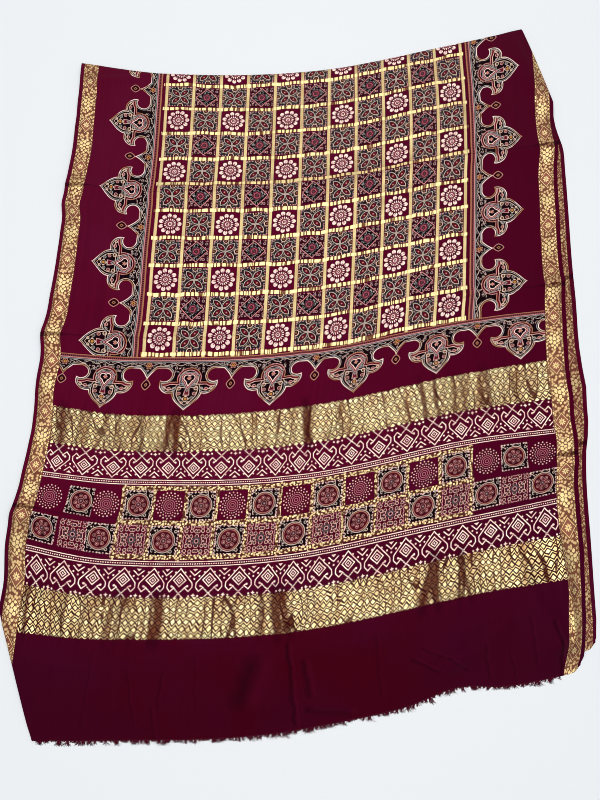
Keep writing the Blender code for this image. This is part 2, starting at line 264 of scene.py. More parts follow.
# folds that the gold bands' tight metal thread has pulled in; in millimetres: across at the
# band's front edge, across at its far edge, half width, then how deep from 0 to 1
gathers = {
    "lowerBand": (
        (52, 52, 5, 0.7), (78, 76, 3, 0.3), (122, 125, 4, 0.6), (156, 159, 4, 0.5), (176, 184, 3, 0.3),
        (198, 208, 6, 0.55), (217, 219, 5, 0.5), (240, 232, 4, 0.35), (263, 262, 3, 0.25),
        (271, 272, 2.5, 0.5), (282, 284, 9, 1.0), (309, 308, 3, 0.2), (336, 334, 3, 0.2),
        (362, 359, 4, 0.35), (400, 397, 4, 0.4), (425, 428, 3, 0.2), (451, 450, 6, 0.6),
        (479, 474, 9, 1.0), (497, 488, 5, 0.7), (505, 502, 3, 0.4), (518, 531, 4, 0.3),
        (565, 568, 4, 0.3), (600, 606, 3, 0.2), (628, 630, 4, 0.2), (662, 660, 3, 0.2),
        (684, 690, 3, 0.2), (720, 740, 9, 1.0), (745, 742, 7, 0.9), (764, 760, 2.5, 0.4),
        (783, 790, 5, 0.55), (799, 786, 4, 0.8), (818, 810, 4, 0.35), (867, 872, 3, 0.3),
        (904, 905, 3, 0.25), (925, 922, 3, 0.2),
    ),
    "upperBand": (
        (62, 60, 12, 0.65), (91, 99, 4, 0.5), (108, 117, 3, 0.45), (131, 146, 4, 0.5),
        (163, 171, 4, 0.35), (181, 191, 3, 0.3), (218, 207, 5, 0.55), (240, 236, 3, 0.2),
        (258, 268, 7, 0.7), (277, 279, 6, 0.95), (299, 293, 3, 0.5), (322, 313, 3, 0.25),
        (357, 354, 3, 0.25), (392, 397, 3, 0.25), (426, 417, 3, 0.3), (436, 443, 3, 0.35),
        (460, 453, 3, 0.3), (490, 488, 3, 0.2), (519, 509, 8, 0.95), (548, 545, 3, 0.2),
        (562, 582, 3, 0.35), (577, 571, 4, 0.35), (626, 613, 3, 0.2), (669, 675, 3, 0.25),
        (712, 707, 3, 0.2), (734, 727, 5, 0.7), (757, 751, 5, 0.7), (788, 789, 4, 0.3),
        (807, 801, 4, 0.45), (838, 837, 4, 0.5), (853, 849, 7, 0.6), (903, 888, 5, 0.5),
        (930, 928, 3, 0.2),
    ),
    "starts": {"lowerBand": "plainEnd", "upperBand": "upperPatola"},
    "height": 0.0026,
    "beyond": 0.026,          # the folds run out this far past the band
}

ripples = {
    # small unevenness: height, wave length across, wave length along, turn
    "field": ((0.00035, 0.031, 0.41, 0.3), (0.0003, 0.052, -0.33, 2.2), (0.0005, 0.62, 0.0587, 1.1),
              (0.0004, 0.118, 0.093, 4.4), (0.0003, -0.071, 0.124, 3.0)),
    "border": 0.0010,
    "borderLong": (0.083, 0.047),
}


def bandFolds(across, along):
    # how far into a gathered fold each place of the cloth lies, 0 to 1
    total = np.zeros_like(across)
    for name, startName in gathers["starts"].items():
        front, far = plan[startName], plan[name]
        share = (along - front) / (far - front)
        past = np.maximum(np.maximum(front - along, along - far), 0) / gathers["beyond"]
        fading = smoothStep(1 - past)
        for start, end, half, deep in gathers[name]:
            middle = (start + (end - start) * np.clip(share, -0.5, 1.5)) / 1000
            middle = middle + 0.0015 * np.sin(share * 5.0 + start)
            total += deep * fading * np.exp(-(((across - middle) * 1000 / half) ** 2))
    return np.minimum(total, 1.2)


def fineRelief(across, along):
    relief = gathers["height"] * bandFolds(across, along)
    for height, longAcross, longAlong, turned in ripples["field"]:
        relief += height * (1 + np.sin(2 * math.pi * (across / longAcross + along / longAlong) + turned)) / 2
    nearEdge = np.minimum(across, cloth["width"] - across) / plan["border"]
    first, second = ripples["borderLong"]
    wave = np.sin(2 * math.pi * along / first + 5 * across) + np.sin(2 * math.pi * along / second + 1.7)
    relief += ripples["border"] * smoothStep(1.6 - nearEdge) * (2 + wave) / 4
    return relief


# small pulls in the plane, in millimetres: across, along, reach across, reach along, then how
# far right and how far back
nudges = {
    "upper": (
        (30, 948, 60, 22, -6, 0), (30, 680, 60, 24, -5, 0), (30, 575, 60, 45, -6, 0),
        (30, 235, 60, 30, 5, 0), (25, 1070, 50, 40, 3, 0), (975, 990, 60, 30, 4, 0),
        (975, 477, 60, 25, 3, 0), (975, 400, 60, 30, 4, 0), (938, 140, 32, 60, 13, 0),
        (945, 50, 32, 50, 8, 0), (250, 370, 170, 90, 6, 0), (620, 310, 130, 45, 0, 5),
        (130, 520, 90, 40, 0, 3), (180, 500, 60, 50, 3, 0), (772, 0, 62, 60, 0, 16),
        (600, 0, 130, 70, 0, 4), (1002, 0, 13, 16, -4, 9),
    ),
    "lower": ((1000, 470, 160, 90, 8, 0), (1000, 620, 160, 80, 3, 0)),
}


def pulledInPlane(pulls, across, along):
    moved = np.zeros((len(across), 2))
    for atAcross, atAlong, wide, long, right, back in pulls:
        near = np.exp(-((across * 1000 - atAcross) / wide) ** 2 - ((along * 1000 - atAlong) / long) ** 2)
        moved += near[:, None] * (np.array((right, back)) / 1000)
    return moved


def layCloth(across, distance):
    # distance runs from the cut end over the fold to the other cut end
    along = np.minimum(distance, cloth["length"] - distance)
    onTop = distance <= fold
    lower, upper = layerHeights(across, along)
    height = np.where(onTop, upper, lower)
    bendFrom = fold - cloth["foldBend"]
    bend = (distance - bendFrom) / (2 * cloth["foldBend"])
    inBend = along > bendFrom
    height = np.where(inBend, lower + (upper - lower) * (1 + np.cos(math.pi * bend)) / 2, height)
    along = np.where(inBend, bendFrom + cloth["foldBend"] * np.sin(math.pi * bend), along)
    step, radius, middle = cloth["layerStep"], cloth["turnRadius"], cloth["lowerMiddle"]
    across, along, height = turnUnder(
        corners["fold"], across, along, height, middle + step + radius, math.pi * (radius + step / 2)
    )
    front = onTop & (pastTurn(corners["front"], across, along) > 0)
    acrossF, alongF, heightF = turnUnder(
        corners["front"], across, along, middle + 2 * radius, middle + radius, math.pi * radius
    )
    across = np.where(front, acrossF, across)
    along = np.where(front, alongF, along)
    height = np.where(front, heightF + step * edgeShare(across, along), height)
    place = readPlan(cloth["upperWefts"], cloth["stations"], across, along)
    place += pulledInPlane(nudges["upper"], across, along) * smoothStep((fold - along) / 0.05)[:, None]
    away = readPlan(cloth["lowerShifts"], (0, cloth["width"]), across, along)
    away += pulledInPlane(nudges["lower"], across, along)
    place += np.where(onTop, 0, 1)[:, None] * away
    return np.column_stack((place, height))


def evenSteps(marks, spacing):
    # steps between the marks, none longer than the spacing given for each stretch
    steps = [marks[0]]
    for start, end, gap in zip(marks, marks[1:], spacing):
        count = max(1, math.ceil((end - start) / gap - 1e-6))
        steps += [start + (end - start) * (i + 1) / count for i in range(count)]
    return steps


weaving = {
    "columnGap": 0.0028,
    # spacing of the rows up to each place along, on the upper layer and on the lower one
    "rowGaps": (
        (0.012, 0.004, 0.006), (plan["plainEnd"], 0.010, 0.037), (plan["lowerBand"], 0.009, 0.034),
        (plan["lowerPatola"], 0.009, 0.030), (plan["squares"], 0.0085, 0.032),
        (plan["upperPatola"], 0.009, 0.031), (plan["upperBand"], 0.009, 0.035),
        (plan["fieldEnd"], 0.0085, 0.034), (fold - 0.040, 0.0085, 0.016),
        (fold - cloth["foldBend"], 0.005, 0.008), (fold, 0.0015, 0.0015),
    ),
}


def columnPlaces():
    half = [0, plan["selvedge"], plan["border"], plan["fieldSide"]]
    marks = half + [cloth["width"] - mark for mark in reversed(half)]
    return evenSteps(marks, [weaving["columnGap"]] * (len(marks) - 1))


def rowPlaces():
    ends, upperGaps, lowerGaps = zip(*weaving["rowGaps"])
    marks = [0, *ends]
    lower = evenSteps([cloth["length"] - mark for mark in reversed(marks)], lowerGaps[::-1])
    return evenSteps(marks, upperGaps) + lower[1:]


turning = {"facets": 5, "near": 0.012, "snap": 0.0003}


def cutAlongTurn(mesh, corner, reach, onLower):
    # edges along a turning line and its bend, so that the turn is crisp
    start, normal = turningLine(corner)
    facing = (normal[0], -normal[1] if onLower else normal[1], 0)
    for facet in range(turning["facets"] + 1):
        place = start + normal * (reach * facet / turning["facets"])
        distance = cloth["length"] - place[1] if onLower else place[1]
        near = []
        for face in mesh.faces:
            middle = face.calc_center_median()
            away = (middle.x - place[0]) * facing[0] + (middle.y - distance) * facing[1]
            if (middle.y > fold) == onLower and abs(away) < turning["near"]:
                near.append(face)
        edges = {edge for face in near for edge in face.edges}
        points = {point for face in near for point in face.verts}
        bmesh.ops.bisect_plane(
            mesh, geom=[*near, *edges, *points], dist=turning["snap"],
            plane_co=(place[0], distance, 0), plane_no=facing,
        )


def flatCloth():
    mesh = bmesh.new()
    columns, rows = columnPlaces(), rowPlaces()
    grid = [[mesh.verts.new((column, row, 0)) for column in columns] for row in rows]
    for near, far in zip(grid, grid[1:]):
        for i in range(len(columns) - 1):
            mesh.faces.new((near[i], near[i + 1], far[i + 1], far[i]))
    radius, step = cloth["turnRadius"], cloth["layerStep"]
    cutAlongTurn(mesh, corners["front"], math.pi * radius, False)
    for onLower in (False, True):
        cutAlongTurn(mesh, corners["fold"], math.pi * (radius + step / 2), onLower)
    data = bpy.data.meshes.new("cloth")
    mesh.to_mesh(data)
    mesh.free()
    return data


def meshPoints(data):
    places = np.empty(len(data.vertices) * 3, np.float32)
    data.vertices.foreach_get("co", places)
    return places.reshape(-1, 3).astype(float)


def shiftToFrame(plain):
    # the CAD is centred on its own box; the cloth is laid in the same place
    low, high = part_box("cloth")
    return np.array([(low[i] + high[i] - plain[:, i].min() - plain[:, i].max()) / 2 for i in (0, 1)])


clothMesh = flatCloth()
flatPlaces = meshPoints(clothMesh)
laidPlaces = layCloth(flatPlaces[:, 0], flatPlaces[:, 1])
shift = shiftToFrame(laidPlaces)
laidPlaces[:, :2] += shift
clothMesh.vertices.foreach_set("co", laidPlaces.astype(np.float32).ravel())
clothMesh.shade_smooth()
clothPiece = bpy.data.objects.new("silkCloth", clothMesh)
bpy.context.scene.collection.objects.link(clothPiece)
print("cloth laid:", len(clothMesh.polygons), "faces")


# drawing inside a material: every measure below is in millimetres on the flat cloth
class reading:
    # a number or a colour inside a material; it adds, scales and compares like any other
    def __init__(self, tree, socket):
        self.tree = tree
        self.socket = socket

    def __sub__(self, other):
        return maths("SUBTRACT", self, other)

    def __rsub__(self, other):
        return maths("SUBTRACT", other, self)

    __add__ = __radd__ = lambda self, other: maths("ADD", self, other)
    __mul__ = __rmul__ = lambda self, other: maths("MULTIPLY", self, other)
    __truediv__ = lambda self, other: maths("DIVIDE", self, other)
    __abs__ = lambda self: maths("ABSOLUTE", self)


def treeOf(parts):
    return next(part.tree for part in parts if isinstance(part, reading))


def plug(tree, socket, value):
    if isinstance(value, reading):
        tree.links.new(value.socket, socket)
    elif isinstance(value, tuple) and len(value) == 3 and socket.type == "RGBA":
        socket.default_value = (*value, 1)
    else:
        socket.default_value = value


def nodeWith(kind, operation, parts):
    tree = treeOf(parts)
    node = tree.nodes.new(kind)
    node.operation = operation
    for socket, part in zip(node.inputs, parts):
        plug(tree, socket, part)
    return tree, node


def maths(operation, *parts, clamp=False):
    tree, node = nodeWith("ShaderNodeMath", operation, parts)
    node.use_clamp = clamp
    return reading(tree, node.outputs[0])


def vectorMaths(operation, *parts):
    tree, node = nodeWith("ShaderNodeVectorMath", operation, parts)
    short = operation in ("LENGTH", "DISTANCE")
    return reading(tree, node.outputs["Value" if short else "Vector"])


def least(*parts):
    return reduce(lambda held, part: maths("MINIMUM", held, part), parts)


def most(*parts):
    return reduce(lambda held, part: maths("MAXIMUM", held, part), parts)


def scaled(value, scale, start):
    return maths("MULTIPLY_ADD", value, scale, start)


def ramp(value, scale, start):
    # the same, held between 0 and 1
    return maths("MULTIPLY_ADD", value, scale, start, clamp=True)


def blended(share, low, high):
    return scaled(share, high - low, low)


def point(x, y):
    tree = treeOf((x, y))
    node = tree.nodes.new("ShaderNodeCombineXYZ")
    plug(tree, node.inputs[0], x)
    plug(tree, node.inputs[1], y)
    return reading(tree, node.outputs[0])


def apart(vector):
    node = vector.tree.nodes.new("ShaderNodeSeparateXYZ")
    vector.tree.links.new(vector.socket, node.inputs[0])
    return reading(vector.tree, node.outputs[0]), reading(vector.tree, node.outputs[1])


def awayFrom(p, x, y):
    return vectorMaths("DISTANCE", p, (x, y, 0.0))


def length(x, y):
    return vectorMaths("LENGTH", point(x, y))


def angleOf(x, y):
    return maths("ARCTAN2", y, x)


def petalled(x, y, count):
    # a wave round the middle, one crest for each petal
    return maths("COSINE", angleOf(x, y) * count)


def inPetal(away, angle, count):
    # the same place seen from its own petal
    turn = repeated(angle, 2 * math.pi / count)
    return away * maths("COSINE", turn), away * maths("SINE", turn)


def repeated(value, pitch):
    # -pitch/2 to pitch/2 about each repeat's middle
    return maths("WRAP", value, pitch / 2, -pitch / 2)


def mirrored(value, pitch):
    # 0 in the middle of each repeat, half a pitch between two
    return maths("PINGPONG", value, pitch / 2)


def covers(depth, soft=0.35):
    # 1 where the depth is below nothing, softened like dye in silk
    return ramp(depth, -1.0 / soft, 0.5)


def stroke(depth, width):
    return covers(abs(depth) - width / 2)


def segment(x, y, start, end, width):
    # depth of a straight stroke with round ends
    runX, runY = end[0] - start[0], end[1] - start[1]
    long = runX * runX + runY * runY
    fromX, fromY = x - start[0], y - start[1]
    share = ramp(fromX, runX / long, fromY * (runY / long))
    return length(scaled(share, -runX, fromX), scaled(share, -runY, fromY)) - width / 2


def drawnLine(x, y, places, width):
    return least(*(segment(x, y, start, end, width) for start, end in zip(places, places[1:])))


def tint(red, green, blue):
    # a colour as seen, 0 to 255, as Blender's linear one
    return tuple(
        c / 255 / 12.92 if c <= 10 else ((c / 255 + 0.055) / 1.055) ** 2.4 for c in (red, green, blue)
    )


def over(mask, below, above):
    # the colour above laid on the colour below where the mask is 1; a dye is given by its name
    parts = [dyes[part] if isinstance(part, str) else part for part in (below, above)]
    tree = treeOf((mask, *parts))
    node = tree.nodes.new("ShaderNodeMix")
    node.data_type = "RGBA"
    plug(tree, node.inputs["Factor"], mask)
    plug(tree, node.inputs[6], parts[0])
    plug(tree, node.inputs[7], parts[1])
    return reading(tree, node.outputs[2])


def texture(kind, p, stretch):
    node = p.tree.nodes.new(kind)
    node.inputs["Scale"].default_value = 1.0
    plug(p.tree, node.inputs["Vector"], vectorMaths("MULTIPLY", p, (*stretch, 0.0)))
    return node


def cloudy(p, size, detail=1.0, stretch=(1, 1)):
    # uneven patches about as large as size, 0 to 1
    node = texture("ShaderNodeTexNoise", p, (stretch[0] / size, stretch[1] / size))
    node.noise_dimensions = "2D"
    node.inputs["Detail"].default_value = detail
    return reading(p.tree, node.outputs["Fac"])


def scattered(p, size, spread=1.0):
    # distance, in parts of size, to the nearest of many scattered points
    node = texture("ShaderNodeTexVoronoi", p, (1 / size, 1 / size))
    node.voronoi_dimensions = "2D"
    node.inputs["Randomness"].default_value = spread
    return reading(p.tree, node.outputs["Distance"])


def clothMap(tree, name):
    node = tree.nodes.new("ShaderNodeUVMap")
    node.uv_map = name
    return vectorMaths("MULTIPLY", reading(tree, node.outputs[0]), (1000.0, 1000.0, 0.0))


class silkStretch:
    # a stretch of silk while it is dyed, printed and woven with gold
    def __init__(self, name):
        self.material = bpy.data.materials.new(name)
        self.material.use_nodes = True
        self.tree = self.material.node_tree
        self.flat = clothMap(self.tree, "flatCloth")
        self.across, self.along = apart(self.flat)
        self.colour = groundDye(self.flat)
        self.metal = self.along * 0.0

    def blockPlace(self):
        # the place in the block of print, with the small wobble of hand-cut blocks
        x, y = apart(clothMap(self.tree, "printCloth"))
        shake = cloudy(self.flat, 9.0) - 0.5
        return x + shake, y - shake * 0.8

    def block(self, half):
        # the same place, how far it is from the middle each way, and the block's inside
        x, y = self.blockPlace()
        ax, ay = abs(x), abs(y)
        return x, y, ax, ay, covers(most(ax, ay) - half)

    def lay(self, mask, dye):
        self.colour = over(mask, self.colour, dye)

    def nest(self, depth, *dyed, within=None):
        # one shape inside another, each dye reaching this far out
        for reach, dye in dyed:
            mask = covers(depth - reach)
            self.lay(mask if within is None else mask * within, dye)

    def fill(self, area, curlsAndDots, curlDye, dotDye):
        curls, dots = curlsAndDots
        self.lay(curls * area, curlDye)
        self.lay(dots * area, dotDye)


dyes = {
    "wine": tint(84, 2, 31),
    "wineDeep": tint(52, 0, 15),
    "winePurple": tint(88, 10, 42),
    "wineShadedRight": tint(70, 0, 26),
    "endWine": tint(62, 0, 16),
    "endPurple": tint(60, 3, 30),
    "endOuter": tint(58, 4, 31),
    "wrongSide": tint(84, 10, 34),
    # deep dark wine: painted shade in folds and creases, and the dark ink inside the toran's beads
    "shadeAndDarkInk": tint(34, 0, 12),
    "black": tint(6, 4, 7),
    "coal": tint(44, 48, 54),
    "slate": tint(62, 70, 74),
    "lead": tint(116, 122, 126),
    "ash": tint(150, 152, 150),
    "paleRose": tint(250, 224, 212),
    "rose": tint(204, 140, 138),
    "dustyRose": tint(172, 98, 112),
    "beige": tint(222, 190, 168),
    "drab": tint(190, 162, 144),
    "ochre": tint(196, 132, 62),
    "clay": tint(168, 116, 80),
    "madder": tint(96, 16, 32),
    "brick": tint(134, 64, 68),
    "umber": tint(92, 48, 42),
    # gold-coloured metal thread
    "zariPale": tint(255, 242, 190),
    "zariBright": tint(250, 228, 164),
    "zariLine": tint(228, 200, 138),
    "zariShade": tint(118, 76, 46),
    # painted shade for zari deep in a gathered fold
    "zariFoldShade": tint(104, 44, 20),
    "zariGround": tint(54, 12, 10),
    "zariOutline": tint(96, 40, 34),
}

satin = {
    "roughness": 0.46,
    "specular": 0.06,
    "glossTint": (1.0, 0.18, 0.35),
    "weave": 3.6,            # unevenness of the satin, mm
    "weaveDepth": 0.14,
    "wrongSide": 0.35,       # how much duller the wrong side is, and its zari
    "wrongZari": 0.55,
    "foldShade": (0.45, 0.97),  # painted shade in a gathered fold: how dark, in silk and in zari
    "foldDull": 0.85,
    "reliefStrength": 0.5,
    "relief": 0.001,
    "zariMetallic": 0.85,
    "zariRoughness": 0.36,
    # painted shade along creases pressed right across: along at the left edge and at the right one, how dark
    "creases": ((985, 1001, 0.55), (680, 699, 0.55), (352, 372, 0.6)),
}


def groundDye(flat):
    # the plain end is darkest; the bath is never quite even, and the satin's warp shows; painted shade
    # darkens the right side, where the left catches more sheen
    across, along = apart(flat)
    inward = maths("SMOOTH_MIN", ramp(along, 1.0 / 330, -110.0 / 330), 1.0, 0.1)
    patches = cloudy(flat, 150.0, 3.0)
    deep = over(ramp(patches, 2.4, -0.9), "endWine", "endPurple")
    deep = over(ramp(abs(across - 480.0), 1.0 / 300, -0.55) * 0.8, deep, "endOuter")
    rich = over(ramp(patches, 1.4, -0.35), "wine", "winePurple")
    # painted shade: darker towards the right side
    rich = over(ramp(across, 1.0 / 500, -0.9), rich, "wineShadedRight")
    warps = ramp(cloudy(flat, 6.0, 2.0, (1.0, 0.03)), 0.5, -0.2)
    return over(warps, over(inward, deep, rich), "wineDeep")


def paintedCreaseShade(flat):
    # painted shade along the pressed creases, wider and darker near the two borders
    across, along = apart(flat)
    drift = scaled(cloudy(flat, 70.0, 2.0), 14.0, -7.0)
    fromMiddle = abs(across - 500.0)
    pinch = ramp(fromMiddle, 1.0 / 30, -445.0 / 30)
    lines = []
    for left, right, dark in satin["creases"]:
        away = abs(along + drift - left - across * ((right - left) / 1000))
        lines.append(covers(away - 1.0 - pinch * 3.5, 3.4) * blended(pinch, dark, dark * 1.5))
    return most(*lines) * ramp(fromMiddle, 1.0 / 520, 0.12)


def finishSilk(silk):
    # satin where it is dyed, metal thread where zari is woven in; duller on the wrong side; painted shade in
    # the gathered folds and along the pressed creases
    tree, metal = silk.tree, silk.metal
    shader = tree.nodes["Principled BSDF"]
    wrong = reading(tree, tree.nodes.new("ShaderNodeNewGeometry").outputs["Backfacing"])
    gathered = tree.nodes.new("ShaderNodeAttribute")
    gathered.attribute_name = "gather"
    depth = ramp(reading(tree, gathered.outputs["Fac"]), 1.7, -0.2)
    creaseShade = paintedCreaseShade(silk.flat)
    silk.lay(wrong * satin["wrongSide"], "wrongSide")
    # painted shade where the gold bands are gathered into folds, on silk and zari; the zari is made less
    # metallic there too
    silk.lay(depth * blended(metal, *satin["foldShade"]), over(metal, "shadeAndDarkInk", "zariFoldShade"))
    # painted shade along the pressed creases, in silk and zari
    silk.lay(creaseShade, over(metal, "shadeAndDarkInk", "zariShade"))
    gold = metal * (1.0 - wrong * satin["wrongZari"]) * (1.0 - depth * satin["foldDull"])
    gold = gold * (1.0 - creaseShade)
    bump = tree.nodes.new("ShaderNodeBump")
    bump.inputs["Strength"].default_value = satin["reliefStrength"]
    bump.inputs["Distance"].default_value = satin["relief"]
    weave = cloudy(silk.flat, satin["weave"], 1.0, (1.0, 0.35)) * satin["weaveDepth"]
    plug(tree, bump.inputs["Height"], weave)
    for name, value in (
        ("Base Color", silk.colour),
        ("Metallic", gold * satin["zariMetallic"]),
        ("Roughness", blended(gold, satin["roughness"], satin["zariRoughness"])),
        ("Normal", reading(tree, bump.outputs["Normal"])),
        ("Specular IOR Level", satin["specular"]),
        ("Specular Tint", satin["glossTint"]),
    ):
        plug(tree, shader.inputs[name], value)
    return silk.material


plainEnd = {
    # painted shade along creases in the plain end: the ends of each crease, its width and how dark it is
    "creases": (
        ((243, 104), (263, 20), 2.0, 0.47), ((286, 52), (295, 2), 2.2, 0.68),
        ((299, 108), (296, 50), 2.0, 0.54), ((496, 142), (515, 10), 4.0, 0.95),
        ((523, 108), (536, 54), 6.0, 0.81), ((536, 30), (600, 14), 7.0, 0.88),
        ((440, 112), (424, 60), 20.0, 0.85), ((702, 76), (744, 40), 3.0, 0.81),
        ((716, 92), (760, 62), 2.5, 0.68), ((760, 60), (790, 30), 2.4, 0.61),
        ((820, 76), (826, 14), 3.0, 0.54), ((898, 110), (908, 30), 2.2, 0.54),
        ((944, 60), (956, 2), 5.0, 0.95), ((930, 96), (944, 60), 4.0, 0.81),
        ((180, 140), (176, 20), 2.0, 0.34), ((640, 130), (650, 30), 3.0, 0.41),
        ((350, 130), (356, 40), 2.0, 0.34), ((862, 60), (876, 8), 2.0, 0.47),
    ),
    # painted highlight beside each crease, as a share of its painted shade
    "lit": 0.22,
}


def plainSilk(silk):
    # darker towards the cut end
    silk.lay(ramp(silk.along, -1.0 / 90, 160.0 / 90) * 0.3, "wineDeep")
    x = scaled(cloudy(silk.flat, 22.0, 2.0), 9.0, silk.across - 4.5)
    for start, end, width, dark in plainEnd["creases"]:
        crease = segment(x, silk.along, start, end, width)
        beside = segment(x - width * 1.2 - 1.4, silk.along, start, end, width)
        # painted shade along each crease, and a painted highlight just beside it
        silk.lay(covers(crease, width * 1.3 + 1.6) * dark, "shadeAndDarkInk")
        silk.lay(covers(beside, width + 0.6) * (dark * plainEnd["lit"]), "winePurple")


patola = {
    "pitch": 48.6,
    "line": 1.85,
    "rules": (0.8, 8.4),
    "ruleHalf": 0.8,
    "ruleDots": (3.9, 4.6, 1.1),      # pitch, place and radius
    "hook": ((0, 12.2), (21.0, 36.2), (21.4, 43.5), (15.8, 50.2), (8.8, 43.6), (13.6, 40.8)),
    "hookEnd": (13.4, 41.4, 1.9),
    "diamondAt": 31.4,
    "diamonds": ((10.6, 1.34), (5.3, 1.13), (0.0, 1.9)),
    "crossAt": 53.4,
    "starAt": 56.7,
    "chevronAt": 23.7,
    "dots": ((0.0, 29.2), (7.6, 25.0), (16.0, 18.4), (7.4, 57.6)),
    "dot": 1.6,
}


def patolaBand(silk):
    across, s = silk.blockPlace()
    x = mirrored(across, patola["pitch"])
    between = patola["pitch"] / 2 - x
    dotPitch, dotAt, dotSize = patola["ruleDots"]
    atX, atS, endSize = patola["hookEnd"]
    diamond = x + abs(s - patola["diamondAt"])
    starY, crossY = abs(s - patola["starAt"]), abs(s - patola["crossAt"])
    depths = [abs(s - at) - patola["ruleHalf"] for at in patola["rules"]]
    depths += [length(repeated(across, dotPitch), s - dotAt) - dotSize]
    depths += [drawnLine(x, s, patola["hook"], patola["line"]), awayFrom(point(x, s), atX, atS) - endSize]
    depths += [abs(diamond - radius) - half for radius, half in patola["diamonds"]]
    # the stacked chevrons and dots between two motifs
    slope = scaled(between, 0.9, s - patola["chevronAt"])
    depths += [most(abs(slope) * 0.74 - 0.95, 15.6 - s, between - 9.5)]
    depths += [most(between + (s - 17.2), 12.9 - s)]
    depths += [awayFrom(point(between, s), *place) - patola["dot"] for place in patola["dots"]]
    depths += [least(between, starY) * 2.0 + most(between, starY) - 3.6]
    # dashed crosses, cut off by the gold band
    dash = abs(repeated(s - 0.4, 2.6)) - 0.95
    depths += [most(abs(x - crossY) * 0.7 - 1.0, x - 9.4, dash)]
    silk.lay(covers(least(*depths)), over(ramp(cloudy(silk.flat, 14.0, 3.0), 2.0, -0.2), "rose", "paleRose"))


lattice = {
    "across": 11.0,
    "rows": 10.4,
    "line": 2.9,
    "deep": 35.0,
    "scallops": (3.0, 0.75),        # depth of the band's edge and its slope
    "sway": 9.0,
    "foldPitch": 19.0,
    "foldLean": 0.06,
    "foldSway": 26.0,
    "net": (tint(186, 146, 98), tint(252, 230, 170)),       # painted as shaded and as lit
    "knots": (tint(216, 182, 126), "zariPale"),
    # painted shade colour of the narrow folds
    "fold": tint(104, 48, 26),
}


def goldBand(silk):
    # rows of gold diamonds, a zigzag of gold between two rows, the ground showing as fine lines
    flat, across = silk.flat, silk.across
    s = silk.blockPlace()[1]
    sway = (cloudy(flat, 26.0) - 0.5) * lattice["sway"]
    half = lattice["across"] / 2
    scallop, slope = lattice["scallops"]
    zigzag = mirrored(across + sway * 0.7, lattice["across"])
    net = mirrored(silk.along + sway, lattice["rows"] * 2) + zigzag
    gap = most(stroke(net - half, lattice["line"]), stroke(net - lattice["rows"], lattice["line"]))
    edge = covers(s - lattice["deep"] + scallop + (zigzag - half) * slope)
    knots = covers(net - 4.0, 1.2)
    # painted sheen: a shaded and a lit copy of the gold net and knots, laid in uneven lengthwise patches
    shadedGold, lit = (over(knots, lattice["net"][i], lattice["knots"][i]) for i in (0, 1))
    gold = over(ramp(cloudy(flat, 15.0, 2.0, (1.0, 0.16)), 3.0, -0.7), shadedGold, lit)
    # painted shade along narrow folds in the band, slanting a little; the zari is less metallic there too
    lean = across + s * lattice["foldLean"]
    drawn = cloudy(point(lean, silk.along), 44.0, 1.0, (1.0, 0.25))
    wave = maths("SINE", lean * (2 * math.pi / lattice["foldPitch"]) + drawn * lattice["foldSway"])
    folds = covers(wave + 0.90, 0.1)
    folds = folds * ramp(cloudy(flat, 24.0), 4.0, -1.1)
    missing = ramp(cloudy(flat, 4.0, 2.0), 1.5, 0.25)
    silk.metal = edge * (1.0 - gap) * missing * (1.0 - folds * 0.5)
    silk.lay(edge, "zariGround")
    silk.lay(silk.metal, over(folds * 0.9, gold, lattice["fold"]))


border = {
    "pitch": 99.0,
    "diamondAt": 434.8,
    "middle": 23.5,
    "half": 16.0,
    # the petals of the cluster between two diamonds: across, along, radius
    "petals": (
        (0.0, 2.0, 3.3), (6.6, 5.8, 3.2), (6.6, -1.8, 3.2), (0.0, 9.6, 3.0), (0.0, -5.6, 3.0),
        (3.8, -11.0, 2.6), (0.0, -15.6, 2.4), (12.0, 1.8, 2.5), (5.0, 14.4, 2.7), (11.6, 9.8, 2.5),
    ),
    "scallops": 7.4,
    "plain": (tint(176, 132, 96), tint(204, 164, 118)),
    "inDiamond": tint(138, 84, 68),
    "lit": tint(240, 216, 158),
}


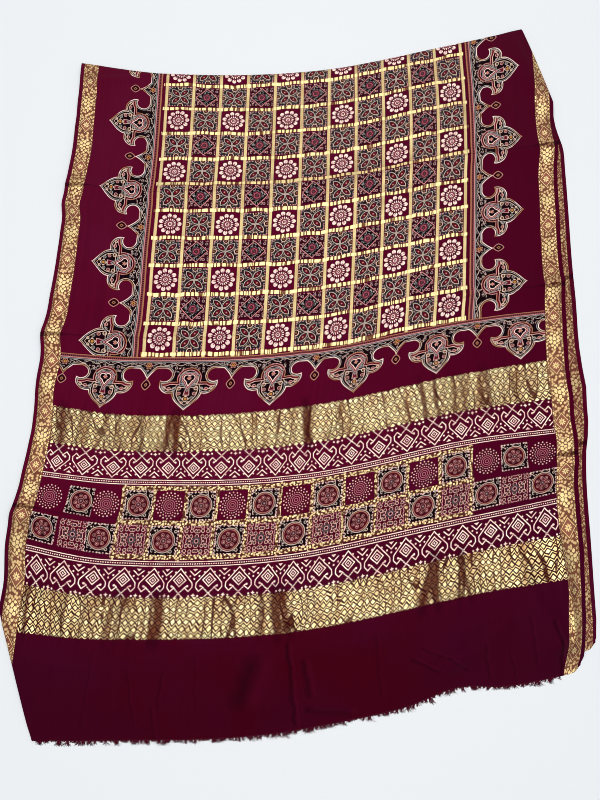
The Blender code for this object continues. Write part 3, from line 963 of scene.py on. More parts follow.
def goldBorder(silk):
    # woven side border: star diamonds and flower clusters by turns, gold on wine
    flat, along = silk.flat, silk.along
    x = least(silk.across, 1000.0 - silk.across) - border["middle"]
    y = repeated(along - border["diamondAt"], border["pitch"])
    ax = abs(x)
    shapes = scattered(flat, 5.6)
    diamond = ax * 1.22 + abs(y)
    within = covers(diamond - 17.6)
    away = length(x, y)
    light = covers(shapes - 0.3, 0.1) * 0.6 * (1.0 - within)
    light = most(light, covers(away - 1.2 - abs(petalled(x, y, 4)) * 5.4), stroke(diamond - 15.6, 2.0) * 0.8)
    veins = covers(0.44 - shapes, 0.1) * (1.0 - within)
    veins = most(veins, stroke(diamond - 18.2, 2.4), covers(away - 1.4))
    # the flower cluster halfway between two diamonds
    loose = scaled(cloudy(flat, 7.0), 5.0, -2.5)
    fromFlower = repeated(along - border["diamondAt"] - border["pitch"] / 2, border["pitch"])
    flower = point(ax + loose * 0.6, fromFlower + loose)
    petals = least(*(awayFrom(flower, atX, atY) - size for atX, atY, size in border["petals"]))
    light = most(light * (1.0 - covers(petals - 1.3)), covers(petals))
    veins = most(veins * (1.0 - covers(petals)), stroke(petals - 0.8, 1.3))
    inside = ax - border["half"]
    scallop = awayFrom(point(inside, repeated(along, border["scallops"])), -1.0, 0.0) - 2.8
    light = most(light, covers(scallop))
    veins = most(veins, stroke(scallop - 0.7, 1.1)) * covers(inside)
    wavy = mirrored(along + border["scallops"] / 2, border["scallops"]) * 0.3
    silk.metal = covers(most(inside, -20.0 - scallop) + wavy) * (1.0 - veins * 0.85)
    tone = ramp(cloudy(flat, 34.0, 2.0), 1.6, -0.3)
    plain = over(within, over(tone, *border["plain"]), border["inDiamond"])
    silk.lay(covers(inside), "zariOutline")
    silk.lay(silk.metal, over(light, plain, over(tone, "zariLine", border["lit"])))


checks = {
    "lengthHalf": 2.6,
    "crossHalf": 3.7,
    "folds": ((9.0, 15.0, 0.56, 0.5), (23.0, 21.0, 0.90, 0.2)),     # pitch, sway, how narrow, softness
    # brown of the crosswise gaps: partly ground showing through, partly painted shade in the grooves
    "gapsAndShade": tint(108, 66, 40),
    "smooth": (tint(188, 160, 110), tint(218, 196, 142)),
}


def fromCheckLine(silk):
    return mirrored(silk.across - plan["checkFrom"] * 1000, plan["checkAcross"] * 1000)


def weaveChecks(silk):
    # the woven gold checks: smooth lengthwise, gathered crosswise so that narrow folds part it; the brown
    # gaps are partly ground showing through and partly painted shade in the grooves
    flat = silk.flat
    drawn = scaled(cloudy(flat, 42.0), 7.0, -3.5)
    alongLine = mirrored(silk.along + drawn - plan["rowFrom"] * 1000, plan["rowAlong"] * 1000)
    sway = cloudy(flat, 26.0, 1.0, (1.0, 0.12))
    gapsAndShade = most(*(
        covers(maths("SINE", silk.across * (2 * math.pi / pitch) + sway * swing) + narrow, soft)
        for pitch, swing, narrow, soft in checks["folds"]
    ))
    crosswise = covers(alongLine - checks["crossHalf"] + gapsAndShade * 0.5, 0.8)
    lengthwise = covers(fromCheckLine(silk) - checks["lengthHalf"] - cloudy(flat, 5.0) * 0.7, 1.0)
    gapsAndShade = gapsAndShade * (1.0 - lengthwise * 0.8)
    shading = ramp(cloudy(flat, 16.0, 2.0, (1.0, 0.35)), 2.0, -0.4)
    silk.lay(lengthwise, over(shading, *checks["smooth"]))
    silk.lay(crosswise, over(gapsAndShade, "zariBright", checks["gapsAndShade"]))
    silk.metal = most(lengthwise * 0.7, crosswise * (1.0 - gapsAndShade * 0.5))


frames = {
    "half": 1.5,
    "uneven": (2.2, 1.8),       # lengthwise, crosswise
    "flecks": 4.4,
    "rows": ((409.0, 2.7), (350.5, 3.1), (294.5, 2.8)),     # along, half width
    "reach": 312.0,
    "gold": (tint(190, 160, 112), tint(248, 230, 178)),
    "fleck": tint(84, 42, 30),
}


def weaveFrames(silk):
    # the gold frames round the squares, gathered and mottled
    flat = silk.flat
    uneven = cloudy(flat, 6.0)
    rows = least(*(abs(silk.along - at) - half for at, half in frames["rows"]))
    lengthwise, crosswise = frames["uneven"]
    edging = covers(fromCheckLine(silk) - frames["half"] - uneven * lengthwise)
    edging = most(edging, covers(rows - uneven * crosswise))
    edging = edging * covers(abs(silk.across - 500.0) - frames["reach"])
    flecks = covers(0.41 - scattered(flat, frames["flecks"]), 0.12)
    gold = over(ramp(cloudy(flat, 4.0), 3.0, -1.1), *frames["gold"])
    silk.lay(edging, over(flecks, gold, frames["fleck"]))
    silk.metal = edging * (1.0 - flecks * 0.8)


# radii and widths in parts of their spacing
marks = {"spread": 0.8, "curl": 0.31, "curlHalf": 0.085, "dot": 0.17}


def busyMarks(p, size=7.0):
    # small open curls and dots by turns, that fill a block between its drawn lines
    near = scattered(p, size, marks["spread"])
    turn = ramp(cloudy(p, size * 0.9, 0.0), 9.0, -4.3)
    curls = covers(abs(near - marks["curl"]) - marks["curlHalf"], 0.05) * (1.0 - turn)
    return curls, covers(near - marks["dot"], 0.06) * turn


def rimDots(ax, ay, at, pitch, size):
    # a row of dots just within a block's edge
    return covers(length(most(ax, ay) - at, repeated(least(ax, ay), pitch)) - size)


slant = math.sqrt(0.5)

flowerBlock = {
    "petals": 11,
    "petal": (17.3, 4.1),       # from the middle, radius
    "dashes": 16,
    "dashAt": 9.8,
}


def flowerCell(silk):
    x, y = silk.blockPlace()
    away, angle = length(x, y), angleOf(x, y)
    px, py = inPetal(away, angle, flowerBlock["petals"])
    petalAt, petal = flowerBlock["petal"]
    heart = awayFrom(point(px * 0.7, py * 1.3), 10.4, 0.0)
    ink = covers(awayFrom(point(px * 0.94, py), petalAt, 0.0) - petal)
    ink = ink * (1.0 - covers(heart - 1.5, 0.8) * 0.8)
    dash = abs(repeated(angle, 2 * math.pi / flowerBlock["dashes"]) * away) - 0.95
    ink = most(ink, covers(most(dash, abs(away - flowerBlock["dashAt"]) - 2.0)))
    ink = most(ink, stroke(away - 3.5, 1.4), covers(away - 1.1))
    silk.lay(covers(away - 7.0) * 0.7, "dustyRose")
    silk.lay(stroke(away - 5.6, 1.1) * 0.7, "wine")
    silk.nest(away, (2.7, "wine"))
    silk.lay(ink, over(ramp(cloudy(silk.flat, 6.0), 3.0, -0.6), "rose", "paleRose"))


leafBlock = {
    "half": 24.2,
    "rim": (22.9, 5.4, 1.15),
    "leaf": (12.4, -9.2, 14.6),     # middle and radius of the arc on each side of a leaf
    "seed": 12.6,
    "bud": 22.5,
}


def leafCell(silk):
    # four leaves on the diagonals of a black ground
    x, y, ax, ay, inside = silk.block(leafBlock["half"])
    p = point(x, y)
    silk.lay(inside, over(cloudy(silk.flat, 13.0), "black", "coal"))
    tone = cloudy(p, 9.0, 0.0)
    warm = over(tone, "rose", "clay")
    silk.fill(inside, busyMarks(p), over(tone, "drab", "lead"), warm)
    silk.lay(rimDots(ax, ay, *leafBlock["rim"]), "rose")
    d1, d2 = abs(x + y) * slant, abs(x - y) * slant
    spot = point(most(d1, d2), least(d1, d2))
    atX, atY, radius = leafBlock["leaf"]
    leaf = awayFrom(spot, atX, atY) - radius
    silk.nest(leaf, (1.9, "black"), (0.6, over(tone, "beige", "ash")), (-0.8, "black"), (-2.4, "madder"))
    silk.nest(awayFrom(spot, leafBlock["seed"], 0.0), (1.5, warm))
    buds = awayFrom(point(most(ax, ay), least(ax, ay)), leafBlock["bud"], 0.0)
    silk.nest(buds, (6.2, "black"), within=inside)
    silk.lay(stroke(buds - 5.0, 1.4) * inside, "beige")
    silk.nest(buds, (2.0, over(tone, "madder", "clay")), within=inside)


diamondBlock = {
    "half": 23.2,
    "square": ((17.0, "wine"), (16.2, "rose"), (14.8, "black")),
    "squareInner": 13.2,
    "flower": ((9.6, "slate"), (8.2, "madder")),
}


def diamondCell(silk):
    # a dark block with a round flower inside a diagonal square
    x, y, ax, ay, inside = silk.block(diamondBlock["half"])
    p, diamond = point(x, y), (ax + ay) * slant
    tone, curlsAndDots = cloudy(p, 9.0, 0.0), busyMarks(p)
    silk.lay(inside * covers(14.0 - diamond, 4.0) * 0.7, "black")
    silk.fill(inside, curlsAndDots, over(tone, "rose", "ash"), over(tone, "clay", "paleRose"))
    silk.nest(diamond, *diamondBlock["square"])
    silk.fill(covers(diamond - diamondBlock["squareInner"]), curlsAndDots, "ash", "beige")
    away, wave = length(x, y), petalled(x, y, 8)
    silk.nest(away - wave, *diamondBlock["flower"])
    silk.lay(stroke(away - 5.2 - wave * 0.6, 1.4), "dustyRose")
    silk.nest(away, (2.0, "slate"))


dottedBlock = {
    "circles": ((9.6, 1.3), (6.3, 1.2), (3.0, 1.3)),        # radius, width
    "dots": 20,
    "firstRank": 13.22,
    "rankStep": 4.25,
    "dot": (0.050, 0.22),       # growth outwards, radius at the middle
}


def dottedCell(silk):
    # rings of dots, each rank turned half a step, round fine circles
    x, y = silk.blockPlace()
    away, step = length(x, y), dottedBlock["rankStep"]
    silk.lay(most(*(stroke(away - radius, width) for radius, width in dottedBlock["circles"])), "dustyRose")
    rank = maths("FLOOR", (away - 11.1) / step)
    pitch = 2 * math.pi / dottedBlock["dots"]
    beside = repeated(angleOf(x, y) + rank * (pitch * 0.5), pitch) * away
    growth, small = dottedBlock["dot"]
    spot = length(beside, repeated(away - dottedBlock["firstRank"], step)) - scaled(away, growth, small)
    ink = covers(spot) * covers(abs(away - 17.5) - 6.3)
    silk.lay(ink, over(cloudy(silk.flat, 9.0), "rose", "paleRose"))


discBlock = {
    "half": 25.0,
    "rim": (23.6, 5.6, 1.3),
    "petals": 7,
    "petalAt": 9.8,
}


def discCell(silk):
    # a wheel in a double ring on a black square with curls in its corners
    x, y, ax, ay, inside = silk.block(discBlock["half"])
    tone = cloudy(silk.flat, 9.0, 0.0)

    def mixed(first, second):
        return over(tone, first, second)

    silk.lay(inside, "black")
    silk.fill(inside, busyMarks(point(x, y)), mixed("beige", "ash"), mixed("paleRose", "rose"))
    silk.lay(rimDots(ax, ay, *discBlock["rim"]), mixed("paleRose", "dustyRose"))
    away = length(x, y)
    silk.nest(
        away, (20.8, "black"), (19.9, mixed("ash", "beige")), (18.5, "umber"),
        (17.2, mixed("dustyRose", "clay")), (15.8, mixed("black", "madder")),
    )
    bloom = awayFrom(point(*inPetal(away, angleOf(x, y), discBlock["petals"])), discBlock["petalAt"], 0.0)
    silk.lay(stroke(bloom - 2.7, 1.2), mixed("umber", "rose"))
    silk.nest(bloom, (0.9, mixed("dustyRose", "paleRose")))
    silk.lay(stroke(away - 4.6, 1.1), mixed("umber", "rose"))
    silk.nest(away, (2.6, "slate"), (1.1, "rose"))


netBlock = {
    "half": 24.4,
    "ringPitch": 7.4,
    "rim": (22.8, 5.2, 1.1),
    "flower": ((7.6, "wine"), (6.6, "slate")),
    "heart": ((3.9, "rose"), (2.4, "black")),
}


def netCell(silk):
    # a net of small rings round a dark flower
    x, y, ax, ay, inside = silk.block(netBlock["half"])
    tone = cloudy(silk.flat, 7.0, 0.0)
    near = scattered(point(ax, ay), netBlock["ringPitch"], 0.55)
    silk.lay(covers(abs(near - 0.36) - 0.07, 0.05) * inside, over(tone, "rose", "beige"))
    silk.lay(covers(near - 0.17, 0.07) * inside, over(tone, "black", "slate"))
    silk.lay(rimDots(ax, ay, *netBlock["rim"]), "dustyRose")
    away = length(x, y)
    silk.nest(away - petalled(x, y, 8), *netBlock["flower"])
    silk.nest(away, *netBlock["heart"])


toran = {
    "pitch": 157.5,
    "bay": (46.0, 32.0, 12.5),      # middle and radius of the round bay beside a dome
    "leaf": (33.0, 48.0, 21.0),
    "halfDome": 27.0,
    "outline": (0.0, -1.7, -3.1, -4.4),     # reach of its four coloured edges
    "arch": 22.6,
    "archEnd": 45.0,
    "archPastBay": 4.2,
    "heart": 39.5,
    "heartDyes": (
        (6.6, "ash"), (5.3, "black"), (4.2, "rose"), (2.8, "madder"), (1.2, "paleRose"), (-0.2, "black"),
    ),
    # small rings that fill the dome: from its middle, outwards, radius, and which colour
    "rings": (
        (15.8, 58.0, 3.3, "beige"), (25.0, 59.0, 3.0, "ash"), (34.4, 59.2, 2.9, "rose"),
        (43.2, 57.6, 2.3, "beige"), (14.2, 68.4, 2.8, "rose"), (11.0, 77.4, 2.6, "ash"),
        (5.6, 86.6, 1.9, "beige"), (9.6, 50.6, 1.6, "ash"),
    ),
    "vine": (10.8, 26.25, 2.6),     # place, pitch, height
    "eye": 79.0,
    "bead": 51.0,
    "hanger": ((0.0, 48.0), (2.4, 51.0), (0.4, 54.0)),
    "bud": 13.5,
    # the ruled edge towards the checks: middle, half width, dye
    "rules": (
        (-0.4, 4.6, "brick"), (4.9, 2.6, "black"), (-3.9, 1.2, "clay"), (3.3, 0.9, "rose"),
        (5.9, 0.7, "ash"),
    ),
    "ruleDots": 3.8,
}


def toranShape(p, x, s):
    # depth below nothing inside the border's printed shape; x from a dome's middle, s outwards
    bayX, bayS, bayRadius = toran["bay"]
    leafX, leafS, leafRadius = toran["leaf"]
    bay = awayFrom(p, bayX, bayS) - bayRadius
    leaf = awayFrom(p, leafX, leafS) - leafRadius
    rise = ramp(s, 1 / 36.0, -67.0 / 36.0)
    ogee = maths("POWER", 1.0 - rise * rise, 1.4) * toran["halfDome"]
    tip = most((x - ogee) * blended(rise, 1.0, 0.68), 48.0 - s, s - 103.0)
    dome = least(most(x - 44.0, s - 52.0), leaf, tip)
    drop = most(60.2 - awayFrom(p, 23.8, 65.6), 52.0 - x, s - 45.0)
    return least(s - 19.0, most(dome, 0.0 - bay), drop), bay


def toranBorder(silk):
    # the arcaded border round the checks: pointed domes with pendant drops between
    flat = silk.flat
    across, s = silk.blockPlace()
    x = mirrored(across, toran["pitch"])
    p = point(x, s)
    below, bay = toranShape(p, x, s)
    hue = cloudy(flat, 26.0)
    warm = ramp(hue, 5.0, -2.2)
    tone = ramp(cloudy(flat, 8.0), 2.0, -0.5)
    outwards = covers(0.0 - s)
    body = covers(below - toran["outline"][-1]) * outwards
    edges = (over(warm, "paleRose", "clay"), "black", over(warm, "ash", "beige"), "black")
    silk.nest(below, *zip(toran["outline"], edges), within=outwards)
    upper = covers(most(below + 6.0, s - 27.0, 6.8 - s))
    curlDye = over(tone, "ash", over(tone, "dustyRose", "beige"))
    silk.fill(upper, busyMarks(point(across, s), 7.4), curlDye, over(tone, "clay", "paleRose"))
    # the running vine in the straight strip
    vineAt, vinePitch, vineHeight = toran["vine"]
    vine = s - vineAt - maths("SINE", across * (2 * math.pi / vinePitch)) * vineHeight
    strip = covers(s - 16.0) * body
    silk.nest(abs(vine), (2.2, "black"), (0.7, over(tone, "beige", "ash")), within=strip)
    # the arch over the heart runs on under the bays to the curled tips
    heart = awayFrom(p, 0.0, toran["heart"])
    arch = most(least(heart - toran["arch"], toran["archEnd"] - s), toran["archPastBay"] - bay)
    silk.nest(arch, (0.0, over(warm, "clay", "rose")), (-1.5, "madder"), within=body)
    beads = abs(repeated(angleOf(x, s - toran["heart"]) * 20.0, 3.8)) - 0.9
    silk.nest(most(abs(arch + 3.0) - 0.9, beads), (0.0, "black"), within=body)
    silk.nest(arch, (-4.4, over(warm, "rose", "beige")), (-5.8, "black"), within=body)
    # the white line within the leaves and the tip
    silk.lay(stroke(below + 8.2, 1.2) * covers(54.0 - s - covers(x - 30.0) * 4.0), "beige")
    for atX, atS, size, dye in toran["rings"]:
        away = awayFrom(p, atX, atS)
        silk.lay(stroke(away - size, 1.4), dye)
        if size > 2.5:
            silk.nest(away, (0.9, "clay"))
    # heart-shaped drop with a small flower in it, on a stem
    stem = most(x - 1.5 - (s - 52.0) * 0.17, abs(s - 61.5) - 9.5)
    silk.nest(stem, (2.6, "black"), (1.2, over(tone, "dustyRose", "beige")), (-0.4, "madder"))
    lobe = awayFrom(p, 4.4, toran["heart"] - 2.0) - 5.4
    silk.nest(least(lobe, most(x * 0.86 + (s - 52.5) * 0.5, 38.0 - s)), *toran["heartDyes"])
    bloomAt = toran["heart"] - 1.5
    bloom = awayFrom(p, 0.0, bloomAt)
    silk.nest(bloom - petalled(x, s - bloomAt, 6) * 1.2, (3.2, "rose"))
    silk.nest(bloom, (1.6, "ochre"))
    eye = awayFrom(p, 0.0, toran["eye"])
    silk.nest(eye - petalled(x, s - toran["eye"], 4), (5.6, "beige"))
    silk.nest(eye, (4.2, "black"), (2.5, "ochre"))
    # the bead that hangs from each drop, and the flower above it
    hang = toran["pitch"] / 2 - x
    beadX, beadS = maths("POWER", hang * 1.25, 1.4), maths("POWER", abs(s - toran["bead"]), 1.4)
    silk.nest(maths("POWER", beadX + beadS, 1 / 1.4), (10.8, over(hue, "clay", "rose")), (8.8, "shadeAndDarkInk"))
    silk.nest(drawnLine(hang, s, toran["hanger"], 1.4), (0.0, "clay"))
    bud, wave = awayFrom(point(hang, s), 0.0, toran["bud"]), petalled(hang, s - toran["bud"], 6)
    silk.nest(bud, (8.6, "black"))
    silk.nest(bud - wave * 1.3, (6.2, over(tone, "clay", "rose")))
    silk.nest(bud - wave, (4.2, "black"))
    silk.nest(bud, (2.9, "ochre"), (1.2, "black"))
    for middle, half, dye in toran["rules"]:
        silk.nest(abs(s - middle), (half, dye))
    dots = most(abs(repeated(across, toran["ruleDots"])) - 1.05, abs(s + 0.1) - 1.5)
    silk.nest(dots, (0.0, "black"))


# each painter, and what is woven over its print
fieldCells = (flowerCell, leafCell, diamondCell)
squareCells = (dottedCell, discCell, netCell)
woven = {painter: weaveChecks for painter in fieldCells} | {painter: weaveFrames for painter in squareCells}
painters = (plainSilk, goldBorder, goldBand, patolaBand, *squareCells, toranBorder, *fieldCells)
materialPlace = {painter.__name__: i for i, painter in enumerate(painters)}


def paintSilk(painter):
    silk = silkStretch(painter.__name__)
    painter(silk)
    if painter in woven:
        woven[painter](silk)
    return finishSilk(silk)


blocks = {
    "shake": 0.0007,        # a block is printed up to this far off its place
    "twist": 2.2,           # and turned up to this many degrees
    "squareRows": (0.380, 0.3215),
    "squaresOutside": (0.062, 0.118, 0.164, 0.836, 0.886, 0.936),
    "patolaPitch": 0.0486,
    # middles of the patola motifs, as unevenly set as by hand
    "patolaMiddles": (
        0.061, 0.1119, 0.1662, 0.2178, 0.2681, 0.3129, 0.3623, 0.4120, 0.4603, 0.5027, 0.5467,
        0.5960, 0.6450, 0.6950, 0.7440, 0.7930, 0.8421, 0.8899, 0.9378,
    ),
    # middle of one dome in the front border and in the left and right ones
    "frontDome": 0.1275,
    "leftDome": 0.8310,
    "rightDome": 0.8700,
    # inner edge of the printed border, at the front and at the sides, and its depth there
    "frontEdge": 0.645,
    "leftEdge": 0.1765,
    "rightEdge": 0.8235,
    "frontDepth": 1.15,
    "sideDepth": 0.975,
}


def evenedPrint(across):
    # hand-set blocks stand unevenly: their middles are brought to an even pitch
    middles = np.array(blocks["patolaMiddles"])
    even = np.arange(len(middles)) * blocks["patolaPitch"]
    inner = np.interp(across, middles, even)
    inner = np.where(across < middles[0], across - middles[0], inner)
    return np.where(across > middles[-1], even[-1] + across - middles[-1], inner)


def blockShake(column, row, which):
    # a small offset or turn that stays with each printed block
    value = np.sin(column * 12.9898 + row * 78.233 + which * 37.719) * 43758.5453
    return (value - np.floor(value)) * 2 - 1


def placedInCell(across, along, column, row, columnMiddle, rowMiddle):
    x = across - columnMiddle - blocks["shake"] * blockShake(column, row, 1)
    y = along - rowMiddle - blocks["shake"] * blockShake(column, row, 2)
    turn = np.radians(blocks["twist"]) * blockShake(column, row, 3)
    return x * np.cos(turn) + y * np.sin(turn), y * np.cos(turn) - x * np.sin(turn)


def fieldCell(across, along):
    found = []
    for place, start, pitch, count in (
        (across, "checkFrom", "checkAcross", "checkColumns"), (along, "rowFrom", "rowAlong", "checkRows"),
    ):
        number = np.clip(np.floor((place - plan[start]) / plan[pitch]), 0, plan[count] - 1)
        found.append((number, plan[start] + (number + 0.5) * plan[pitch]))
    (column, columnMiddle), (row, rowMiddle) = found
    return column, row, columnMiddle, rowMiddle


def squareCell(across, along):
    middles = [plan["checkFrom"] + (i + 0.5) * plan["checkAcross"] for i in range(plan["checkColumns"])]
    middles = np.array(sorted([*middles, *blocks["squaresOutside"]]))
    column = np.abs(across[:, None] - middles[None, :]).argmin(1)
    row = (along < (plan["lowerPatola"] + plan["squares"]) / 2 - 0.001).astype(int)
    return column, row, middles[column], np.array(blocks["squareRows"])[row]


def regionOf(across, along):
    # which painter's silk covers a face, from its middle
    names = np.full(across.shape, "toranBorder")
    column, row = fieldCell(across, along)[:2]
    inField = (np.abs(across - 0.5) < 0.5 - plan["fieldSide"]) & (along > plan["fieldEnd"])
    names[inField] = "leafCell"
    names[inField & (column % 2 == 0) & (row % 2 == 0)] = "flowerCell"
    names[inField & (column % 2 == 1) & (row % 2 == 1)] = "diamondCell"
    start = 0
    for end, name in (
        ("plainEnd", "plainSilk"), ("lowerBand", "goldBand"), ("lowerPatola", "patolaBand"),
        ("squares", "discCell"), ("upperPatola", "patolaBand"), ("upperBand", "goldBand"),
    ):
        names[(along >= start) & (along < plan[end])] = name
        start = plan[end]
    column, row = squareCell(across, along)[:2]
    inSquares = (along >= plan["lowerPatola"]) & (along < plan["squares"])
    names[inSquares & (column % 2 == 0) & (row == 0)] = "dottedCell"
    names[inSquares & (column % 2 == 1) & (row == 1)] = "netCell"
    names[np.abs(across - 0.5) > 0.5 - plan["border"]] = "goldBorder"
    return names


def printPlaces(kinds, across, along, faceAcross, faceAlong):
    # where each corner of a face lies in its own block of print
    x, y = across.copy(), along.copy()

    def place(painted, newX, newY):
        chosen = np.isin(kinds, [materialPlace[painter.__name__] for painter in painted])
        x[chosen], y[chosen] = newX[chosen], newY[chosen]

    upper = faceAlong > plan["lowerPatola"]
    upperMiddle = (plan["upperPatola"] + plan["upperBand"]) / 2
    lowerMiddle = (plan["plainEnd"] + plan["lowerBand"]) / 2
    place([goldBand], across, np.abs(along - np.where(upper, upperMiddle, lowerMiddle)))
    fromSquares = np.where(upper, along - plan["squares"], plan["lowerPatola"] - along)
    place([patolaBand], evenedPrint(across), fromSquares)
    front, left = faceAlong < plan["fieldEnd"], faceAcross < 0.5
    sideX = along - np.where(left, blocks["leftDome"], blocks["rightDome"])
    sideY = np.where(left, blocks["leftEdge"] - across, across - blocks["rightEdge"]) * blocks["sideDepth"]
    frontY = (blocks["frontEdge"] - along) * blocks["frontDepth"]
    place([toranBorder], np.where(front, across - blocks["frontDome"], sideX), np.where(front, frontY, sideY))
    for painted, cellOf, rowShift in ((fieldCells, fieldCell, 0), (squareCells, squareCell, 40)):
        column, row, *middle = cellOf(faceAcross, faceAlong)
        place(painted, *placedInCell(across, along, column, row + rowShift, *middle))
    return x, y


def mapCloth(data):
    corner = np.empty(len(data.loops), np.int32)
    data.loops.foreach_get("vertex_index", corner)
    counts = np.empty(len(data.polygons), np.int32)
    data.polygons.foreach_get("loop_total", counts)
    face = np.repeat(np.arange(len(counts)), counts)
    across, distance = flatPlaces[corner, 0], flatPlaces[corner, 1]
    faceAcross = np.bincount(face, across) / counts
    faceDistance = np.bincount(face, distance) / counts
    along = np.minimum(distance, cloth["length"] - distance)
    faceAlong = np.minimum(faceDistance, cloth["length"] - faceDistance)
    kinds = np.array([materialPlace[name] for name in regionOf(faceAcross, faceAlong)], np.int32)
    data.polygons.foreach_set("material_index", kinds)
    x, y = printPlaces(kinds[face], across, along, faceAcross[face], faceAlong[face])
    onTop = (faceDistance < fold)[face]
    bakeX = np.where(onTop, across * 0.775, 0.79 + across * 0.205)
    for name, u, v in (("flatCloth", across, along), ("printCloth", x, y), ("OFBake", bakeX, along / fold)):
        layer = data.uv_layers.new(name=name)
        layer.data.foreach_set("uv", np.column_stack((u, v)).astype(np.float32).ravel())


def markFoldShade(data):
    # how deep in a fold each point lies, for painted shade on the silk and zari there
    along = np.minimum(flatPlaces[:, 1], cloth["length"] - flatPlaces[:, 1])
    depth = bandFolds(flatPlaces[:, 0], along)
    layer = data.attributes.new("gather", "FLOAT", "POINT")
    layer.data.foreach_set("value", np.clip(depth, 0, 1).astype(np.float32))


for painter in painters:
    clothMesh.materials.append(paintSilk(painter))
mapCloth(clothMesh)
markFoldShade(clothMesh)
print("cloth dyed, printed and woven:", len(painters), "materials")


fray = {
    "from": 0.100,
    "to": 0.952,
    "strands": 3400,
    "clump": 0.0062,          # how far apart the locks stand
    "rootAt": 0.0025,         # along the cloth
    "long": (0.0035, 0.0105),
    "longSpread": (0.75, 1.15),
    "lean": 0.45,
    "leanSpread": 0.22,
    "curlSpread": 0.35,
    "drawnIn": 0.85,          # towards the middle of the lock
    "radius": 0.00042,
    "taper": 0.55,
    "rootLift": 0.0004,
    "curlLift": 0.0032,
    "sides": 3,
    "steps": 5,
    "dye": tint(76, 3, 30),
    "seed": 5,
}


def scramble(value, scale, factor):
    # an even share from 0 to 1 that stays with each number
    wild = np.sin(value * scale) * factor
    return wild - np.floor(wild)


def frayedYarns():
    # each yarn is a thin prism that leans and curls, drawn towards the middle of its lock
    chance = np.random.default_rng(fray["seed"])
    count, sides, steps = fray["strands"], fray["sides"], fray["steps"]
    across = np.sort(chance.uniform(fray["from"], fray["to"], count))
    clump = np.floor(across / fray["clump"] + 0.4 * np.sin(across * 90))
    low, high = fray["long"]
    long = low + (high - low) * scramble(clump, 39.425, 24634.6345)
    long = long * chance.uniform(*fray["longSpread"], count)
    base = layCloth(across, np.full(count, fray["rootAt"]))
    near = layCloth(across, np.full(count, fray["rootAt"] + 0.0095))
    base[:, :2] += shift
    near[:, :2] += shift
    out = base[:, :2] - near[:, :2]
    out /= np.hypot(out[:, 0], out[:, 1])[:, None]
    side = np.column_stack((-out[:, 1], out[:, 0]))
    lean = fray["lean"] * (scramble(clump, 12.9898, 43758.5453) * 2 - 1)
    lean = lean + chance.normal(0, fray["leanSpread"], count)
    curl = chance.normal(0, fray["curlSpread"], count)
    gather = (clump + 0.5) * fray["clump"] - across
    points, faces = [], []
    for t in np.linspace(0, 1, steps + 1):
        beside = long * (lean * t + curl * t * t) + gather * fray["drawnIn"] * t
        place = base[:, :2] + out * (long * t)[:, None] + side * beside[:, None]
        radius = fray["radius"] * (1 - fray["taper"] * t)
        height = radius + fray["rootLift"] * (1 - t) + fray["curlLift"] * np.abs(curl) * t * (1 - t)
        for k in range(sides):
            angle = 2 * math.pi * k / sides + 0.5
            rim = place + side * (radius * math.cos(angle))
            points.append(np.column_stack((rim, height + radius * math.sin(angle))))
    for start in range(0, count * sides * (steps + 1), sides * (steps + 1)):
        for first in range(start, start + sides * steps, sides):
            for k in range(sides):
                beyond = (k + 1) % sides
                faces.append((first + k, first + beyond, first + sides + beyond, first + sides + k))
        last = start + sides * steps
        faces.append(tuple(range(start + sides - 1, start - 1, -1)))
        faces.append(tuple(range(last, last + sides)))
    data = bpy.data.meshes.new("frayedYarns")
    data.from_pydata(np.stack(points, 1).reshape(-1, 3).tolist(), [], faces)
    data.shade_smooth()
    return data


def plainFinish(name, colour, roughness):
    material = bpy.data.materials.new(name)
    material.use_nodes = True
    shader = material.node_tree.nodes["Principled BSDF"]
    shader.inputs["Base Color"].default_value = (*colour, 1)
    shader.inputs["Roughness"].default_value = roughness
    shader.inputs["Specular IOR Level"].default_value = 0.1
    return material


fringeMesh = frayedYarns()
fringeMesh.materials.append(plainFinish("yarnSilk", fray["dye"], 0.6))
fringePiece = bpy.data.objects.new("frayedEdge", fringeMesh)
bpy.context.scene.collection.objects.link(fringePiece)
print("frayed edge:", fray["strands"], "yarns")


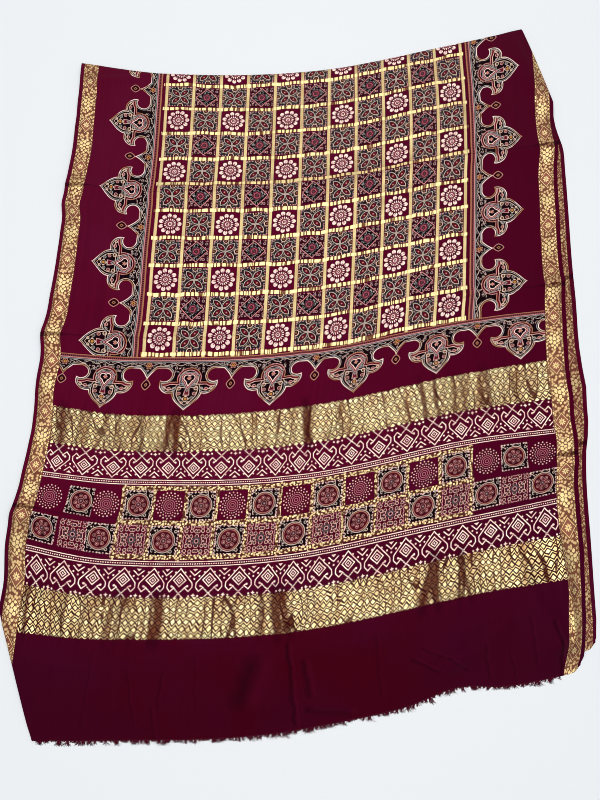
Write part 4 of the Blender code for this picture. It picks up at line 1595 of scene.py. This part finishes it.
studio = {
    "tilt": 12.3,            # degrees from straight down
    "distance": 1.113,
    "lens": 27.0,
    "crispness": 0.9,        # width of the picture's pixel filter
    "sky": (0.95, 0.97, 1.0),
    "skyStrength": 0.40,
    "lampSize": (3.8, 5.8),
    "lampPlace": (0.0, 0.3, 2.6),
    "lampPower": 95.0,
    "floorColour": (0.84, 0.86, 0.875),
    "floorHalf": 6.0,
}


def lookAt(thing, place, target):
    thing.location = place
    thing.rotation_mode = "QUATERNION"
    thing.rotation_quaternion = (Vector(target) - Vector(place)).to_track_quat("-Z", "Y")


def setStudio():
    tilt = math.radians(studio["tilt"])
    camera = bpy.data.objects.new("camera", bpy.data.cameras.new("camera"))
    bpy.context.scene.collection.objects.link(camera)
    camera.data.lens = studio["lens"]
    camera.data.sensor_width = 36.0
    away = studio["distance"]
    place = (shift[0], shift[1] - away * math.sin(tilt), away * math.cos(tilt))
    lookAt(camera, place, (shift[0], shift[1], 0))
    bpy.context.scene.camera = camera
    lamp = bpy.data.objects.new("softLamp", bpy.data.lights.new("softLamp", "AREA"))
    lamp.data.shape = "RECTANGLE"
    lamp.data.size, lamp.data.size_y = studio["lampSize"]
    lamp.data.energy = studio["lampPower"]
    bpy.context.scene.collection.objects.link(lamp)
    lamp.location = studio["lampPlace"]
    world = bpy.data.worlds.new("sky")
    bpy.context.scene.world = world
    world.use_nodes = True
    sky = world.node_tree.nodes["Background"]
    sky.inputs["Color"].default_value = (*studio["sky"], 1)
    sky.inputs["Strength"].default_value = studio["skyStrength"]
    bpy.context.scene.view_settings.view_transform = "Standard"
    bpy.context.scene.cycles.filter_width = studio["crispness"]


def layFloor():
    half = studio["floorHalf"]
    mesh = bpy.data.meshes.new("floor")
    rim = [(-half, -half, 0), (half, -half, 0), (half, half, 0), (-half, half, 0)]
    mesh.from_pydata(rim, [], [(0, 1, 2, 3)])
    floor = bpy.data.objects.new("floor", mesh)
    bpy.context.scene.collection.objects.link(floor)
    mesh.materials.append(plainFinish("paleFloor", studio["floorColour"], 0.9))


setStudio()
layFloor()
print("camera, light and floor set")

for piece, node, slot in ((clothPiece, "cloth", "printed_silk"), (fringePiece, "fringe", "frayed_yarn")):
    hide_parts(node)
    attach(piece, "root")
